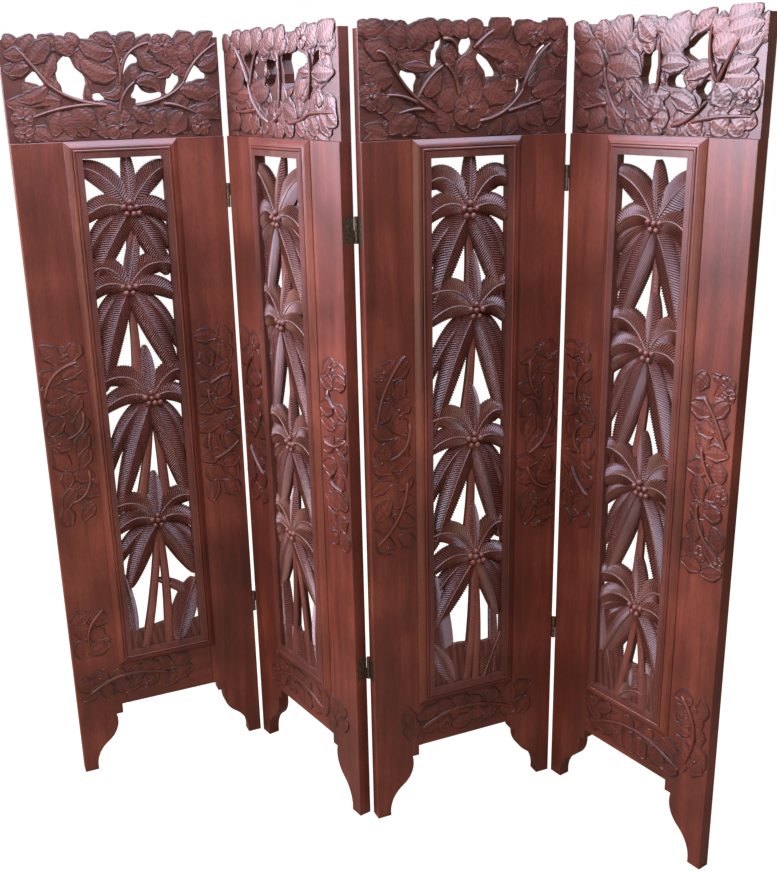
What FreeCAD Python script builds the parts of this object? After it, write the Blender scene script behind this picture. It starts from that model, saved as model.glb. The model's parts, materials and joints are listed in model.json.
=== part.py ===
"""A free-standing folding screen of carved hardwood, in millimetres.

Four tall panels stand in a zigzag on the floor and are joined edge to edge by
pairs of butt hinges. Each panel is a frame of two stiles, a bottom rail and a
carved, pierced crest rail. A raised moulding, mitred at its corners, holds a
pierced board of coconut palms in front of the frame.

X runs along the screen, Y from its front to its back and Z up. The origin is
on the floor, at the middle of the screen's length and depth. Every panel is
drawn lying along X with its front face at Y = 0 and its left edge at X = 0,
and is then turned and moved to its place in the zigzag.
"""

import FreeCAD, Part
import math
import os

Vector = FreeCAD.Vector

# Panels
panel_width = 480.0
panel_height = 1830.0
frame_thickness = 30.0
fold_angle = 78.0

# Frame: stiles, bottom rail and crest rail
stile_width = 124.0
crest_height = 230.0
rail_height = 127.0
foot_height = 176.0
crest_lip = 12.0
rebate_width = 8.0
rebate_depth = 8.0
tenon_thickness = 10.0
tenon_length = 45.0
tenon_shoulder = 15.0
crest_tenon_width = 60.0
crest_tenon_height = 40.0
joint_clearance = 0.1

# Foot: the stile's shaped lower end
foot_quirk_height = 150.0
foot_neck_width = 95.0
foot_knee_width = 68.0
foot_knee_height = 76.0
toe_width = 35.0
foot_bulge_share = 0.16
foot_hollow_share = 0.14
foot_step = 12.0

# Raised moulding: its outline, outer edge first, as shares of width and height
moulding_width = 24.0
moulding_height = 13.0
moulding_lap = 12.0
moulding_profile_shares = [
    (0.00, 0.00),
    (0.00, 0.16),
    (0.36, 0.62),
    (0.70, 0.84),
    (0.76, 0.74),
    (0.84, 1.00),
    (1.00, 1.00),
    (1.00, 0.00),
]

moulding_corners = {
    "left": ("low_left", "high_left"),
    "right": ("low_right", "high_right"),
    "bottom": ("low_left", "low_right"),
    "top": ("high_left", "high_right"),
}

# Pierced board of palms
board_rise = 12.0
board_clearance = 0.3
border_width = 14.0
base_heights = [55.0, 69.0, 96.0, 96.0]
trunk_top_width = 16.0
trunk_foot_width = 30.0
boss_radius = 15.0
nut_facets = 6
under_frond_depth = 5.0
over_frond_depth = 1.0
rib_width = 4.5
rib_rise = 2.0
frond_root_width = 7.0

# Crowns on each panel, from the top: the heart's place across and up the pierced
# field, then the height above it of the rising fronds' tips and of their bends
crown_shares = [
    [(0.03, 0.905, 0.56, 0.50), (-0.07, 0.757, 0.20, 0.45),
     (0.09, 0.536, 0.30, 0.50), (0.03, 0.292, 0.25, 0.48)],
    [(-0.05, 0.888, 0.58, 0.50), (-0.07, 0.698, 0.28, 0.50),
     (0.03, 0.464, 0.25, 0.48), (-0.07, 0.275, 0.24, 0.46)],
    [(0.00, 0.909, 0.30, 0.60), (0.09, 0.733, 0.22, 0.42),
     (0.07, 0.494, 0.28, 0.50), (0.10, 0.260, 0.36, 0.60)],
    [(0.09, 0.890, 0.57, 0.47), (0.08, 0.672, 0.28, 0.50),
     (0.09, 0.428, 0.38, 0.52), (0.12, 0.197, 0.22, 0.48)],
]
trunk_foot_shares = [(-0.29, 0.02), (-0.20, 0.20), (-0.14, 0.10), (-0.15, 0.28)]

# Fronds of a crown: tip across from the field's centre line and above the heart,
# the spine's bend across from and above the heart, and width, all as shares of the
# pierced field's width, then its layer. A hanging frond's heights are shares of
# the drop to the next crown.
upright_frond_shares = (0.01, 0.72, 0.00, 0.34, 0.16, "under")
rising_frond_shares = [(-0.60, -0.25, 0.27, "under"), (0.60, 0.26, 0.27, "under")]
arching_frond_shares = [
    (-0.60, -0.10, -0.32, 0.24, 0.23, "under"),
    (0.60, -0.14, 0.33, 0.20, 0.22, "under"),
    (-0.60, -0.36, -0.39, 0.04, 0.20, "over"),
    (0.60, -0.40, 0.40, 0.02, 0.19, "over"),
]
hanging_frond_shares = [
    (-0.60, -0.60, -0.37, -0.10, 0.24, "under"),
    (0.60, -0.62, 0.37, -0.13, 0.23, "under"),
    (-0.47, -0.92, -0.22, -0.27, 0.32, "ribbed"),
    (0.48, -0.88, 0.23, -0.29, 0.31, "ribbed"),
]
last_drop_share = 1.15

# Carved leaves: straight cuts along each side, and how soon a leaf is at full width
leaf_facets = 3
small_leaf_facets = 2
leaf_fullness = 0.6

# Crest rails: carved thickness, and each panel's scalloped top as rows of a
# hollow between two scallops (across, up) and the rise of the scallop before it
crest_ground_depth = 5.0
scallop_shares = (0.25, 0.75)
stem_root_share = 0.5
flower_petals = 5
petal_notch_share = 0.75
crest_top_shares = [
    [(0.00, 0.965, 0.0), (0.16, 0.94, 0.02), (0.25, 0.945, 0.025), (0.37, 0.97, 0.025),
     (0.52, 0.952, 0.02), (0.64, 0.957, 0.04), (0.70, 0.943, 0.03), (0.775, 0.93, 0.06),
     (0.85, 0.957, 0.03), (0.94, 0.948, 0.03), (1.00, 0.974, 0.02)],
    [(0.00, 0.975, 0.0), (0.115, 0.962, 0.02), (0.37, 0.957, 0.04), (0.505, 0.957, 0.035),
     (0.625, 0.95, 0.045), (0.72, 0.965, 0.03), (0.84, 0.952, 0.035), (1.00, 0.96, 0.04)],
    [(0.00, 0.955, 0.0), (0.08, 0.945, 0.05), (0.15, 0.945, 0.045), (0.375, 0.975, 0.02),
     (0.47, 0.97, 0.02), (0.625, 0.98, 0.018), (0.81, 0.955, 0.03), (0.89, 0.95, 0.045),
     (1.00, 0.97, 0.025)],
    [(0.00, 0.93, 0.0), (0.13, 0.92, 0.05), (0.205, 0.91, 0.07), (0.35, 0.905, 0.09),
     (0.455, 0.905, 0.08), (0.53, 0.92, 0.045), (0.65, 0.935, 0.07), (0.775, 0.935, 0.065),
     (0.82, 0.905, 0.02), (1.00, 0.965, 0.06)],
]

# Piercings of each crest: start and tip (across, up), then bow and width of
# the leaf-shaped opening as shares of its length
crest_hole_shares = [
    [(0.350, 0.37, 0.298, 0.79, 0.11, 0.60), (0.537, 0.58, 0.615, 0.73, 0.28, 0.46),
     (0.392, 0.38, 0.450, 0.38, 0.02, 0.50), (0.568, 0.43, 0.720, 0.41, -0.08, 0.38),
     (0.750, 0.42, 0.785, 0.61, 0.03, 0.50), (0.825, 0.51, 0.944, 0.57, 0.30, 0.56),
     (0.100, 0.55, 0.181, 0.52, 0.28, 0.50)],
    [(0.252, 0.58, 0.245, 0.77, 0.02, 0.75), (0.390, 0.51, 0.520, 0.68, 0.04, 0.42),
     (0.550, 0.50, 0.685, 0.72, 0.03, 0.62), (0.805, 0.62, 0.855, 0.77, 0.04, 0.50)],
    [(0.331, 0.61, 0.390, 0.85, 0.12, 0.36), (0.458, 0.71, 0.530, 0.86, 0.02, 0.52),
     (0.595, 0.50, 0.545, 0.71, -0.06, 0.56), (0.255, 0.37, 0.190, 0.58, 0.12, 0.56),
     (0.705, 0.22, 0.772, 0.53, -0.16, 0.20), (0.805, 0.52, 0.908, 0.81, 0.08, 0.24)],
    [(0.425, 0.42, 0.440, 0.67, 0.03, 0.62), (0.590, 0.61, 0.720, 0.82, -0.04, 0.50),
     (0.540, 0.43, 0.620, 0.45, 0.04, 0.50), (0.700, 0.23, 0.745, 0.45, 0.04, 0.42),
     (0.225, 0.46, 0.265, 0.50, 0.03, 0.60), (0.800, 0.48, 0.838, 0.61, 0.04, 0.48)],
]

# Stems of each crest: start and tip, bow over length, and width over length
crest_stem_shares = [
    [(0.42, 0.35, 0.07, 0.83, 0.12, 0.075), (0.45, 0.35, 0.11, 0.25, -0.04, 0.07),
     (0.50, 0.20, 0.60, 0.54, 0.05, 0.13), (0.525, 0.50, 0.47, 0.84, 0.06, 0.14),
     (0.56, 0.29, 0.975, 0.86, -0.12, 0.065), (0.72, 0.33, 0.91, 0.27, -0.15, 0.12)],
    [(0.36, 0.16, 0.13, 0.80, 0.04, 0.075), (0.27, 0.22, 0.06, 0.30, 0.08, 0.10),
     (0.51, 0.26, 0.515, 0.81, -0.07, 0.10), (0.56, 0.15, 0.93, 0.26, 0.04, 0.075),
     (0.76, 0.32, 0.745, 0.80, -0.10, 0.10)],
    [(0.40, 0.20, 0.08, 0.78, 0.11, 0.07), (0.28, 0.30, 0.10, 0.39, -0.16, 0.12),
     (0.47, 0.32, 0.34, 0.63, 0.14, 0.11), (0.54, 0.15, 0.90, 0.34, -0.04, 0.075),
     (0.69, 0.20, 0.93, 0.88, -0.13, 0.07)],
    [(0.40, 0.08, 0.13, 0.72, 0.12, 0.075), (0.22, 0.27, 0.05, 0.21, -0.08, 0.12),
     (0.47, 0.21, 0.31, 0.45, 0.12, 0.12), (0.50, 0.44, 0.47, 0.77, 0.05, 0.14),
     (0.56, 0.09, 0.95, 0.20, 0.03, 0.07), (0.67, 0.13, 0.81, 0.46, -0.07, 0.10),
     (0.775, 0.42, 0.735, 0.84, 0.12, 0.11)],
]

# Round flowers of each crest: place across and up, and radius over the height
crest_flower_shares = [
    [(0.505, 0.16, 0.12), (0.735, 0.88, 0.09)],
    [(0.485, 0.16, 0.14)],
    [(0.515, 0.24, 0.15), (0.045, 0.33, 0.09)],
    [(0.460, 0.13, 0.13), (0.930, 0.34, 0.08)],
]

# Butt hinges: a plate let into each edge, and knuckles round a pin. Each joint's two
# were fitted by eye, one so far above the bottom rail, one so far below the crest rail.
hinge_offsets = {(1, 2): (66.0, 108.0), (2, 3): (69.0, 150.0), (3, 4): (84.0, 66.0)}
hinge_height = 56.0
plate_width = 24.0
plate_thickness = 1.8
knuckle_radius = 4.0
knuckle_gap = 0.25
pin_radius = 2.0
pin_clearance = 0.05
pin_proud = 4.5
pin_edge_gap = 1.5

# Sizes worked out from those above
panel_count = len(crown_shares)
overrun = frame_thickness
joint_height = panel_height - crest_height
rail_top = foot_height + rail_height
opening_left = stile_width
opening_right = panel_width - stile_width
opening_top = joint_height - crest_lip
moulding_left = opening_left - moulding_lap
moulding_right = opening_right + moulding_lap
moulding_bottom = rail_top - moulding_lap
moulding_top = opening_top + moulding_lap
field_left = moulding_left + moulding_width
field_right = moulding_right - moulding_width
field_bottom = moulding_bottom + moulding_width
field_top = moulding_top - moulding_width
pierced_left = field_left + border_width
pierced_right = field_right - border_width
pierced_bottom = field_bottom + border_width
pierced_top = field_top - border_width
pierced_width = pierced_right - pierced_left
pierced_height = pierced_top - pierced_bottom
pierced_centre = (pierced_left + pierced_right) / 2
board_back = rebate_depth


def point(across, up, depth=0.0):
    """A point on the panel: across from its left edge, up from the floor, back from its face."""
    return Vector(across, depth, up)


def outline(corners):
    """A closed wire of straight edges through points of the panel's plane."""
    return Part.makePolygon(list(corners) + [corners[0]])


def rectangle(left, right, bottom, top):
    return outline([point(left, bottom), point(right, bottom), point(right, top), point(left, top)])


def flat(wire):
    """The flat face inside a wire of the panel's plane, looking to the front."""
    face = Part.Face(wire)
    if face.normalAt(0, 0).y > 0:
        face = Part.Face(wire.reversed())
    return face


def merged(faces):
    """Flat faces that overlap, as one flat shape."""
    pieces = faces[0].multiFuse(faces[1:])
    return Part.Shell(pieces.Faces).removeSplitter()


def slab(shape, front, back):
    """A flat shape made into a solid between two depths."""
    shape = shape.copy()
    shape.translate(Vector(0, front, 0))
    return shape.extrude(Vector(0, back - front, 0))


def block(left, right, front, back, bottom, top):
    return Part.makeBox(right - left, back - front, top - bottom, Vector(left, front, bottom))


def arc(start, middle, end):
    return Part.Arc(start, middle, end).toShape()


def line(start, end):
    return Part.LineSegment(start, end).toShape()


def side_of(start, end):
    """The unit vector to the left of the way from start to end, in the panel's plane."""
    along = end - start
    return Vector(-along.z, 0, along.x).normalize()


def leaf_outline(start, bend, tip, belly, root, facets):
    """A carved leaf's faceted outline round a spine that heads for the bend and curves to the tip."""
    left = []
    right = []
    for step in range(facets):
        share = step / facets
        rest = 1 - share
        spine = start * rest ** 2 + bend * (2 * rest * share) + tip * share ** 2
        side = side_of(start * rest + bend * share, bend * rest + tip * share)
        half = root / 2 + (belly - root) / 2 * math.sin(math.pi * share) ** leaf_fullness
        left.append(spine + side * half)
        right.append(spine - side * half)
    if root == 0:
        right = right[1:]
    return outline(left + [tip] + right[::-1])


def joined(shapes):
    """One solid of overlapping or touching solids, with faces that lie in one plane merged."""
    return shapes[0].multiFuse(shapes[1:]).removeSplitter()


def foot_cut(mirrored):
    """What is cut from a stile's lower end, inside the foot's curved inner side."""
    top = foot_height
    neck = point(foot_neck_width, foot_quirk_height)
    knee = point(foot_knee_width, foot_knee_height)
    toe = point(toe_width, 0)
    bulge = (neck + knee) * 0.5 + side_of(knee, neck) * (-foot_bulge_share * (neck - knee).Length)
    hollow = (knee + toe) * 0.5 + side_of(toe, knee) * (foot_hollow_share * (knee - toe).Length)
    shelf = point(stile_width - foot_step, foot_quirk_height)
    wire = Part.Wire([
        arc(neck, bulge, knee),
        arc(knee, hollow, toe),
        line(toe, point(toe_width, -overrun)),
        line(point(toe_width, -overrun), point(stile_width + overrun, -overrun)),
        line(point(stile_width + overrun, -overrun), point(stile_width + overrun, top)),
        line(point(stile_width + overrun, top), point(stile_width - foot_step, top)),
        line(point(stile_width - foot_step, top), shelf),
        line(shelf, neck),
    ])
    cut = slab(flat(wire), -overrun, frame_thickness + overrun)
    if mirrored:
        cut = cut.mirror(Vector(panel_width / 2, 0, 0), Vector(1, 0, 0))
    return cut


def tenon_depths(clearance):
    middle = (rebate_depth + frame_thickness) / 2
    return middle - tenon_thickness / 2 - clearance, middle + tenon_thickness / 2 + clearance


def rail_tenon(side, clearance):
    """The bottom rail's tenon on one side, or with a clearance its mortise."""
    front, back = tenon_depths(clearance)
    bottom = foot_height + tenon_shoulder - clearance
    top = rail_top - tenon_shoulder + clearance
    if side == "left":
        return block(opening_left - tenon_length - clearance, opening_left, front, back, bottom, top)
    return block(opening_right, opening_right + tenon_length + clearance, front, back, bottom, top)


def crest_tenon(side, clearance):
    """A stile's top tenon, or with a clearance its mortise in the crest rail."""
    front, back = tenon_depths(clearance)
    left = (stile_width - crest_tenon_width) / 2
    if side == "right":
        left = panel_width - stile_width + left
    return block(left - clearance, left + crest_tenon_width + clearance, front, back,
                 joint_height, joint_height + crest_tenon_height + clearance)


def board_rebate():
    """The room for the pierced board's rim, cut from the front inner edges of the frame."""
    return block(opening_left - rebate_width, opening_right + rebate_width, 0, rebate_depth,
                 rail_top - rebate_width, opening_top + rebate_width)


def hinge_bottoms(joint):
    """The lower ends of a joint's two hinges, above the bottom rail and below the crest rail."""
    rise, drop = hinge_offsets[joint]
    return [rail_top + rise, joint_height - drop - hinge_height]


def plate_seat(side, face, bottom):
    """The shallow seat of one hinge plate in a panel's edge, or the plate itself."""
    left = 0 if side == "left" else panel_width - plate_thickness
    front = 0 if face == "front" else frame_thickness - plate_width
    return block(left, left + plate_thickness, front, front + plate_width, bottom, bottom + hinge_height)


def joints_of(number):
    """The hinged edges of a panel: side, face of the knuckles, and the joint's name."""
    found = []
    if number > 1:
        found.append(("left", "front" if number % 2 == 0 else "back", (number - 1, number)))
    if number < panel_count:
        found.append(("right", "front" if number % 2 else "back", (number, number + 1)))
    return found


def stile(number, side):
    left = 0 if side == "left" else opening_right
    body = block(left, left + stile_width, 0, frame_thickness, 0, joint_height)
    body = joined([body, crest_tenon(side, 0.0)])
    cuts = [foot_cut(side == "right"), board_rebate(), rail_tenon(side, joint_clearance)]
    for edge, face, joint in joints_of(number):
        if edge == side:
            cuts += [plate_seat(edge, face, bottom) for bottom in hinge_bottoms(joint)]
    for cut in cuts:
        body = body.cut(cut)
    return body


def bottom_rail():
    body = block(opening_left, opening_right, 0, frame_thickness, foot_height, rail_top)
    body = body.cut(board_rebate())
    return joined([body, rail_tenon("left", 0.0), rail_tenon("right", 0.0)])


def crest_point(across, up):
    return point(across * panel_width, joint_height + up * crest_height)


def crest_leaves(rows, root_share):
    """Leaf-shaped faces of a crest from rows of start, tip, bow and width."""
    faces = []
    for start_across, start_up, tip_across, tip_up, bow, width in rows:
        start = crest_point(start_across, start_up)
        tip = crest_point(tip_across, tip_up)
        length = (tip - start).Length
        belly = width * length
        bend = (start + tip) * 0.5 + side_of(start, tip) * (2 * bow * length)
        faces.append(flat(leaf_outline(start, bend, tip, belly, root_share * belly, leaf_facets)))
    return faces


def crest_flower(across, up, radius):
    """A flower of pointed petals round a place on the crest."""
    centre = crest_point(across, up)
    corners = []
    for step in range(2 * flower_petals):
        reach = radius * crest_height * (1 if step % 2 else petal_notch_share)
        angle = math.pi * step / flower_petals
        corners.append(centre + point(reach * math.cos(angle), reach * math.sin(angle)))
    return flat(outline(corners))


def crest_outline(rows):
    """The crest rail's outline: a scalloped top, and a lip that reaches down between the stiles."""
    corners = []
    before = None
    for across, up, rise in rows:
        here = crest_point(across, up)
        if before is not None:
            for share in scallop_shares:
                lift = rise * crest_height * math.sin(math.pi * share)
                corners.append(before + (here - before) * share + point(0, lift))
        corners.append(here)
        before = here
    corners += [
        point(panel_width, joint_height),
        point(opening_right, joint_height),
        point(opening_right, opening_top),
        point(opening_left, opening_top),
        point(opening_left, joint_height),
        point(0, joint_height),
    ]
    return outline(corners)


def crest_rail(number):
    """A pierced board with stems and flowers left standing on its front."""
    index = number - 1
    holes = crest_leaves(crest_hole_shares[index], 0)
    ground = flat(crest_outline(crest_top_shares[index])).cut(merged(holes))
    carved = [flat(rectangle(opening_left, opening_right, opening_top, joint_height + crest_lip))]
    carved += crest_leaves(crest_stem_shares[index], stem_root_share)
    carved += [crest_flower(*row) for row in crest_flower_shares[index]]
    body = joined([
        slab(ground, crest_ground_depth, frame_thickness),
        slab(merged(carved), 0, crest_ground_depth),
    ])
    cuts = [board_rebate(), crest_tenon("left", joint_clearance), crest_tenon("right", joint_clearance)]
    for cut in cuts:
        body = body.cut(cut)
    return body


def moulding(side):
    """One length of the raised moulding, mitred at both ends."""
    left, right, bottom, top = moulding_left, moulding_right, moulding_bottom, moulding_top
    starts = []
    ends = []
    for inward, rise in moulding_profile_shares:
        inset = inward * moulding_width
        depth = -rise * moulding_height
        corners = {
            "low_left": point(left + inset, bottom + inset, depth),
            "low_right": point(right - inset, bottom + inset, depth),
            "high_left": point(left + inset, top - inset, depth),
            "high_right": point(right - inset, top - inset, depth),
        }
        start, end = moulding_corners[side]
        starts.append(corners[start])
        ends.append(corners[end])
    faces = [Part.Face(outline(starts)), Part.Face(outline(ends))]
    count = len(starts)
    for here in range(count):
        there = (here + 1) % count
        faces.append(Part.Face(outline([starts[here], starts[there], ends[there], ends[here]])))
    shell = Part.makeShell(faces)
    shell.sewShape()
    return Part.makeSolid(shell)


def field_point(across, up):
    """A place in the pierced field: across from its centre line, up from its bottom."""
    return point(pierced_centre + across * pierced_width, pierced_bottom + up * pierced_height)


def crown(heart, lift, bend_height, drop):
    """The fronds of a crown, as rows of tip, bend, width and layer."""
    rows = [upright_frond_shares]
    for across, bend_across, width, layer in rising_frond_shares:
        rows.append((across, lift, bend_across, bend_height, width, layer))
    for across, up, bend_across, bend_up, width, layer in hanging_frond_shares:
        rows.append((across, up * drop, bend_across, bend_up * drop, width, layer))
    rows += arching_frond_shares
    fronds = []
    for across, up, bend_across, bend_up, width, layer in rows:
        tip = point(pierced_centre + across * pierced_width, heart.z + up * pierced_width)
        bend = heart + point(bend_across * pierced_width, bend_up * pierced_width)
        fronds.append((tip, bend, width * pierced_width, layer))
    return fronds


def trunk(heart, foot):
    """The outline of a tapering trunk from a crown's heart down to its foot."""
    top = trunk_top_width / 2
    low = trunk_foot_width / 2
    return flat(outline([
        point(heart.x - top, heart.z), point(heart.x + top, heart.z),
        point(foot.x + low, foot.z), point(foot.x - low, foot.z),
    ]))


def nut_cluster(heart):
    """The lobed outline of the nuts round a crown's heart."""
    corners = []
    for step in range(nut_facets):
        angle = 2 * math.pi * step / nut_facets
        corners.append(heart + point(boss_radius * math.cos(angle), boss_radius * math.sin(angle)))
    return flat(outline(corners))


def palm_board(number):
    """The pierced board: a rim in the frame's rebate, a border, and palms one above another."""
    gap = board_clearance
    rim = flat(rectangle(opening_left - rebate_width + gap, opening_right + rebate_width - gap,
                         rail_top - rebate_width + gap, opening_top + rebate_width - gap))
    field = flat(rectangle(field_left + gap, field_right - gap, field_bottom + gap, field_top - gap))
    pierced = flat(rectangle(pierced_left, pierced_right, pierced_bottom, pierced_top))
    border = field.cut(pierced)
    index = number - 1
    base = flat(rectangle(pierced_left, pierced_right, pierced_bottom, pierced_bottom + base_heights[index]))
    crowns = crown_shares[index]
    hearts = [field_point(across, up) for across, up, lift, bend_height in crowns]
    trunks = [trunk(heart, foot) for heart, foot in zip(hearts, hearts[1:])]
    trunks += [trunk(hearts[-1], field_point(across, 0)) for across in trunk_foot_shares[index]]
    drops = [(heart.z - below.z) / pierced_width for heart, below in zip(hearts, hearts[1:])]
    under = []
    over = []
    ribs = []
    for heart, row, drop in zip(hearts, crowns, drops + [last_drop_share]):
        lift, bend_height = row[2:]
        for tip, bend, width, layer in crown(heart, lift, bend_height, drop):
            facets = leaf_facets if layer == "ribbed" else small_leaf_facets
            leaf = flat(leaf_outline(heart, bend, tip, width, frond_root_width, facets)).common(field)
            if layer == "under":
                under.append(leaf)
            else:
                over.append(leaf)
            if layer == "ribbed":
                rib = leaf_outline(heart, bend, tip, rib_width, rib_width, leaf_facets)
                ribs.append(flat(rib).common(field))
        over.append(nut_cluster(heart))
    under_front = under_frond_depth - board_rise
    over_front = over_frond_depth - board_rise
    return joined([
        slab(rim.cut(field), 0, board_back),
        slab(merged([border, base] + trunks + under + over), under_front, board_back),
        slab(merged(over), over_front, under_front),
        slab(border, -board_rise, under_front),
        slab(merged(ribs), over_front - rib_rise, over_front),
    ])


def pin_place(side, face):
    """Where a hinge's pin stands beside a panel, as a point of the floor."""
    across = -pin_edge_gap if side == "left" else panel_width + pin_edge_gap
    depth = -pin_proud if face == "front" else frame_thickness + pin_proud
    return Vector(across, depth, 0)


def hinge_plate(side, face, bottom):
    """A hinge's plate with its knuckle: the lower one on a panel's right edge, the upper on a left edge."""
    place = pin_place(side, face)
    middle = bottom + hinge_height / 2
    low = bottom if side == "right" else middle + knuckle_gap / 2
    high = middle - knuckle_gap / 2 if side == "right" else bottom + hinge_height
    seat = plate_seat(side, face, bottom)
    edge = seat.BoundBox
    front = min(place.y, edge.YMin)
    back = max(place.y, edge.YMax)
    neck = block(edge.XMin, edge.XMax, front, back, low, high)
    knuckle = Part.makeCylinder(knuckle_radius, high - low, place + Vector(0, 0, low))
    bore = Part.makeCylinder(pin_radius + pin_clearance, hinge_height, place + Vector(0, 0, bottom))
    return joined([seat, neck, knuckle]).cut(bore)


def hinge_pin(place, bottom):
    """A straight pin, flush with the hinge at both ends."""
    return Part.makeCylinder(pin_radius, hinge_height, place + Vector(0, 0, bottom))


def panel_angle(number):
    """Odd panels turn back from left to right, even ones turn forward."""
    return fold_angle / 2 if number % 2 else -fold_angle / 2


def turned(vector, number):
    return FreeCAD.Rotation(Vector(0, 0, 1), panel_angle(number)).multVec(vector)


def panel_places():
    """Each panel's left front corner on the floor, with the whole screen centred on the origin."""
    places = [Vector(0, 0, 0)]
    for number in range(1, panel_count):
        face = "front" if number % 2 else "back"
        pin = places[-1] + turned(pin_place("right", face), number)
        places.append(pin - turned(pin_place("left", face), number + 1))
    corners = [place + turned(Vector(across, depth, 0), number)
               for number, place in enumerate(places, 1)
               for across in (0, panel_width) for depth in (0, frame_thickness)]
    middle_x = (min(c.x for c in corners) + max(c.x for c in corners)) / 2
    middle_y = (min(c.y for c in corners) + max(c.y for c in corners)) / 2
    return [place - Vector(middle_x, middle_y, 0) for place in places]


def save(name, shape, number, places):
    """Turns a piece drawn on a panel into the panel's place in the zigzag and writes it."""
    shape = shape.copy()
    shape.Placement = FreeCAD.Placement(
        places[number - 1], FreeCAD.Rotation(Vector(0, 0, 1), panel_angle(number))
    ).multiply(shape.Placement)
    if not shape.isValid() or not shape.Solids:
        print("not a valid solid:", name)
    shape.exportStep(os.path.join("parts", name + ".step"))


def build_panel(number, places):
    pieces = {
        "left_stile": stile(number, "left"),
        "right_stile": stile(number, "right"),
        "bottom_rail": bottom_rail(),
        "crest_rail": crest_rail(number),
        "palm_board": palm_board(number),
    }
    for side in ("left", "right", "bottom", "top"):
        pieces[side + "_moulding"] = moulding(side)
    for name, shape in pieces.items():
        save(f"panel_{number}_{name}", shape, number, places)


def build_hinges(number, places):
    """The hinges between a panel and the next one, each with two plates and a pin."""
    face = "front" if number % 2 else "back"
    for level, bottom in zip(("lower", "upper"), hinge_bottoms((number, number + 1))):
        name = f"hinge_{number}{number + 1}_{level}"
        save(name + "_left_plate", hinge_plate("right", face, bottom), number, places)
        save(name + "_right_plate", hinge_plate("left", face, bottom), number + 1, places)
        save(name + "_pin", hinge_pin(pin_place("right", face), bottom), number, places)


def main():
    os.makedirs("parts", exist_ok=True)
    places = panel_places()
    for number in range(1, panel_count + 1):
        build_panel(number, places)
    for number in range(1, panel_count):
        build_hinges(number, places)
        face = "front" if number % 2 else "back"
        pin = places[number - 1] + turned(pin_place("right", face), number)
        print(f"hinge line {number}-{number + 1}: x {pin.x:.3f} y {pin.y:.3f}")


main()
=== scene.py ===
# %% [markdown]
# A folding screen of carved hardwood: four panels, each a frame round a board of coconut palms that
# the carver has pierced right through. The model from CAD gives the frame, the hinges and where
# each piece goes. This script gives the wood its colour and grain, and carves what the chisel carved.

# %% The fixed frame
import bmesh
import bpy
import itertools
import json
import math
import random
from mathutils import Matrix, Vector


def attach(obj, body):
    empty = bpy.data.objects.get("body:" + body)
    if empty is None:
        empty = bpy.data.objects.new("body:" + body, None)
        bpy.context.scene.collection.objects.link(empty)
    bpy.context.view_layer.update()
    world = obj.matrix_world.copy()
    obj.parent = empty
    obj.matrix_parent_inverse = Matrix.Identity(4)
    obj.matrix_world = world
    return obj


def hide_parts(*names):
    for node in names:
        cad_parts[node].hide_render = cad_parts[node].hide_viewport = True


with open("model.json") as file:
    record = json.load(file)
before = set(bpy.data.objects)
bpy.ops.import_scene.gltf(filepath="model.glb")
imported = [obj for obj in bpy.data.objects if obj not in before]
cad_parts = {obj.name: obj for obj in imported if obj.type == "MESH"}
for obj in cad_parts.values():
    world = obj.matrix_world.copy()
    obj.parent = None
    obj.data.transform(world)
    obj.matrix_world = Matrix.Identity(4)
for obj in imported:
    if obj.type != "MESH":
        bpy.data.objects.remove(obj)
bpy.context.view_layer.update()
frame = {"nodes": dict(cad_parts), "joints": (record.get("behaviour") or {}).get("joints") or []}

# %% [markdown]
# Each panel is carved lying flat and is then hinged into the zigzag. So every carving here is drawn in
# its panel's own space: X across from the left edge, Z up from the floor, and Y back from the front
# face, which makes what stands proud of the face negative. One matrix then stands the panel in place.
# The hinge pins of the two front joints say where that is.

# %% The panels' own space
mm = 0.001
panel_width = 480 * mm
panel_height = 1830 * mm
frame_thickness = 30 * mm
half_fold = math.radians(39)
pin_proud = 4.5 * mm
pin_edge_gap = 1.5 * mm
numbers = (1, 2, 3, 4)
joint_at = {joint["name"]: Vector(joint["pos_m"]) for joint in frame["joints"]}


def panel_turn(number):
    return half_fold if number % 2 else -half_fold


def panel_matrix(number):
    """Takes a point from a panel's own space to its place in the screen."""
    across = panel_width + pin_edge_gap if number % 2 else -pin_edge_gap
    pin = joint_at["fold_1_2" if number < 3 else "fold_3_4"]
    turn = Matrix.Rotation(panel_turn(number), 4, "Z")
    corner = Vector((pin.x, pin.y, 0)) - turn @ Vector((across, -pin_proud, 0))
    return Matrix.Translation(corner) @ turn


for number in numbers:
    print("panel", number, "stands at", [round(value, 4) for value in panel_matrix(number).translation])

# %% [markdown]
# The photograph was taken from standing height, close to the right half of the screen, looking down
# a little. A camera fitted to the corners of the four panels gives its place, its turn and its lens.

# %% Camera


def new_object(name, data):
    """An object that shows the data, in the scene."""
    thing = bpy.data.objects.new(name, data)
    bpy.context.collection.objects.link(thing)
    return thing


camera_place = (0.6718, -2.3260, 1.7131)
camera_turn_degrees = (72.0705, 1.1275, 15.3436)
camera_lens_mm = 45.16
camera_shift = (0.00217, -0.00042)

camera_data = bpy.data.cameras.new("camera")
camera_data.lens = camera_lens_mm
camera_data.shift_x, camera_data.shift_y = camera_shift
camera = new_object("camera", camera_data)
camera.location = camera_place
camera.rotation_euler = [math.radians(angle) for angle in camera_turn_degrees]
bpy.context.scene.camera = camera

# %% [markdown]
# A material is a small network of nodes. Two helpers keep it readable: one turns a colour as a painter
# writes it, in sRGB hex, into the linear values that light is reckoned in, and one adds a node with
# its settings and links.

# %% Helpers for materials


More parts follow.
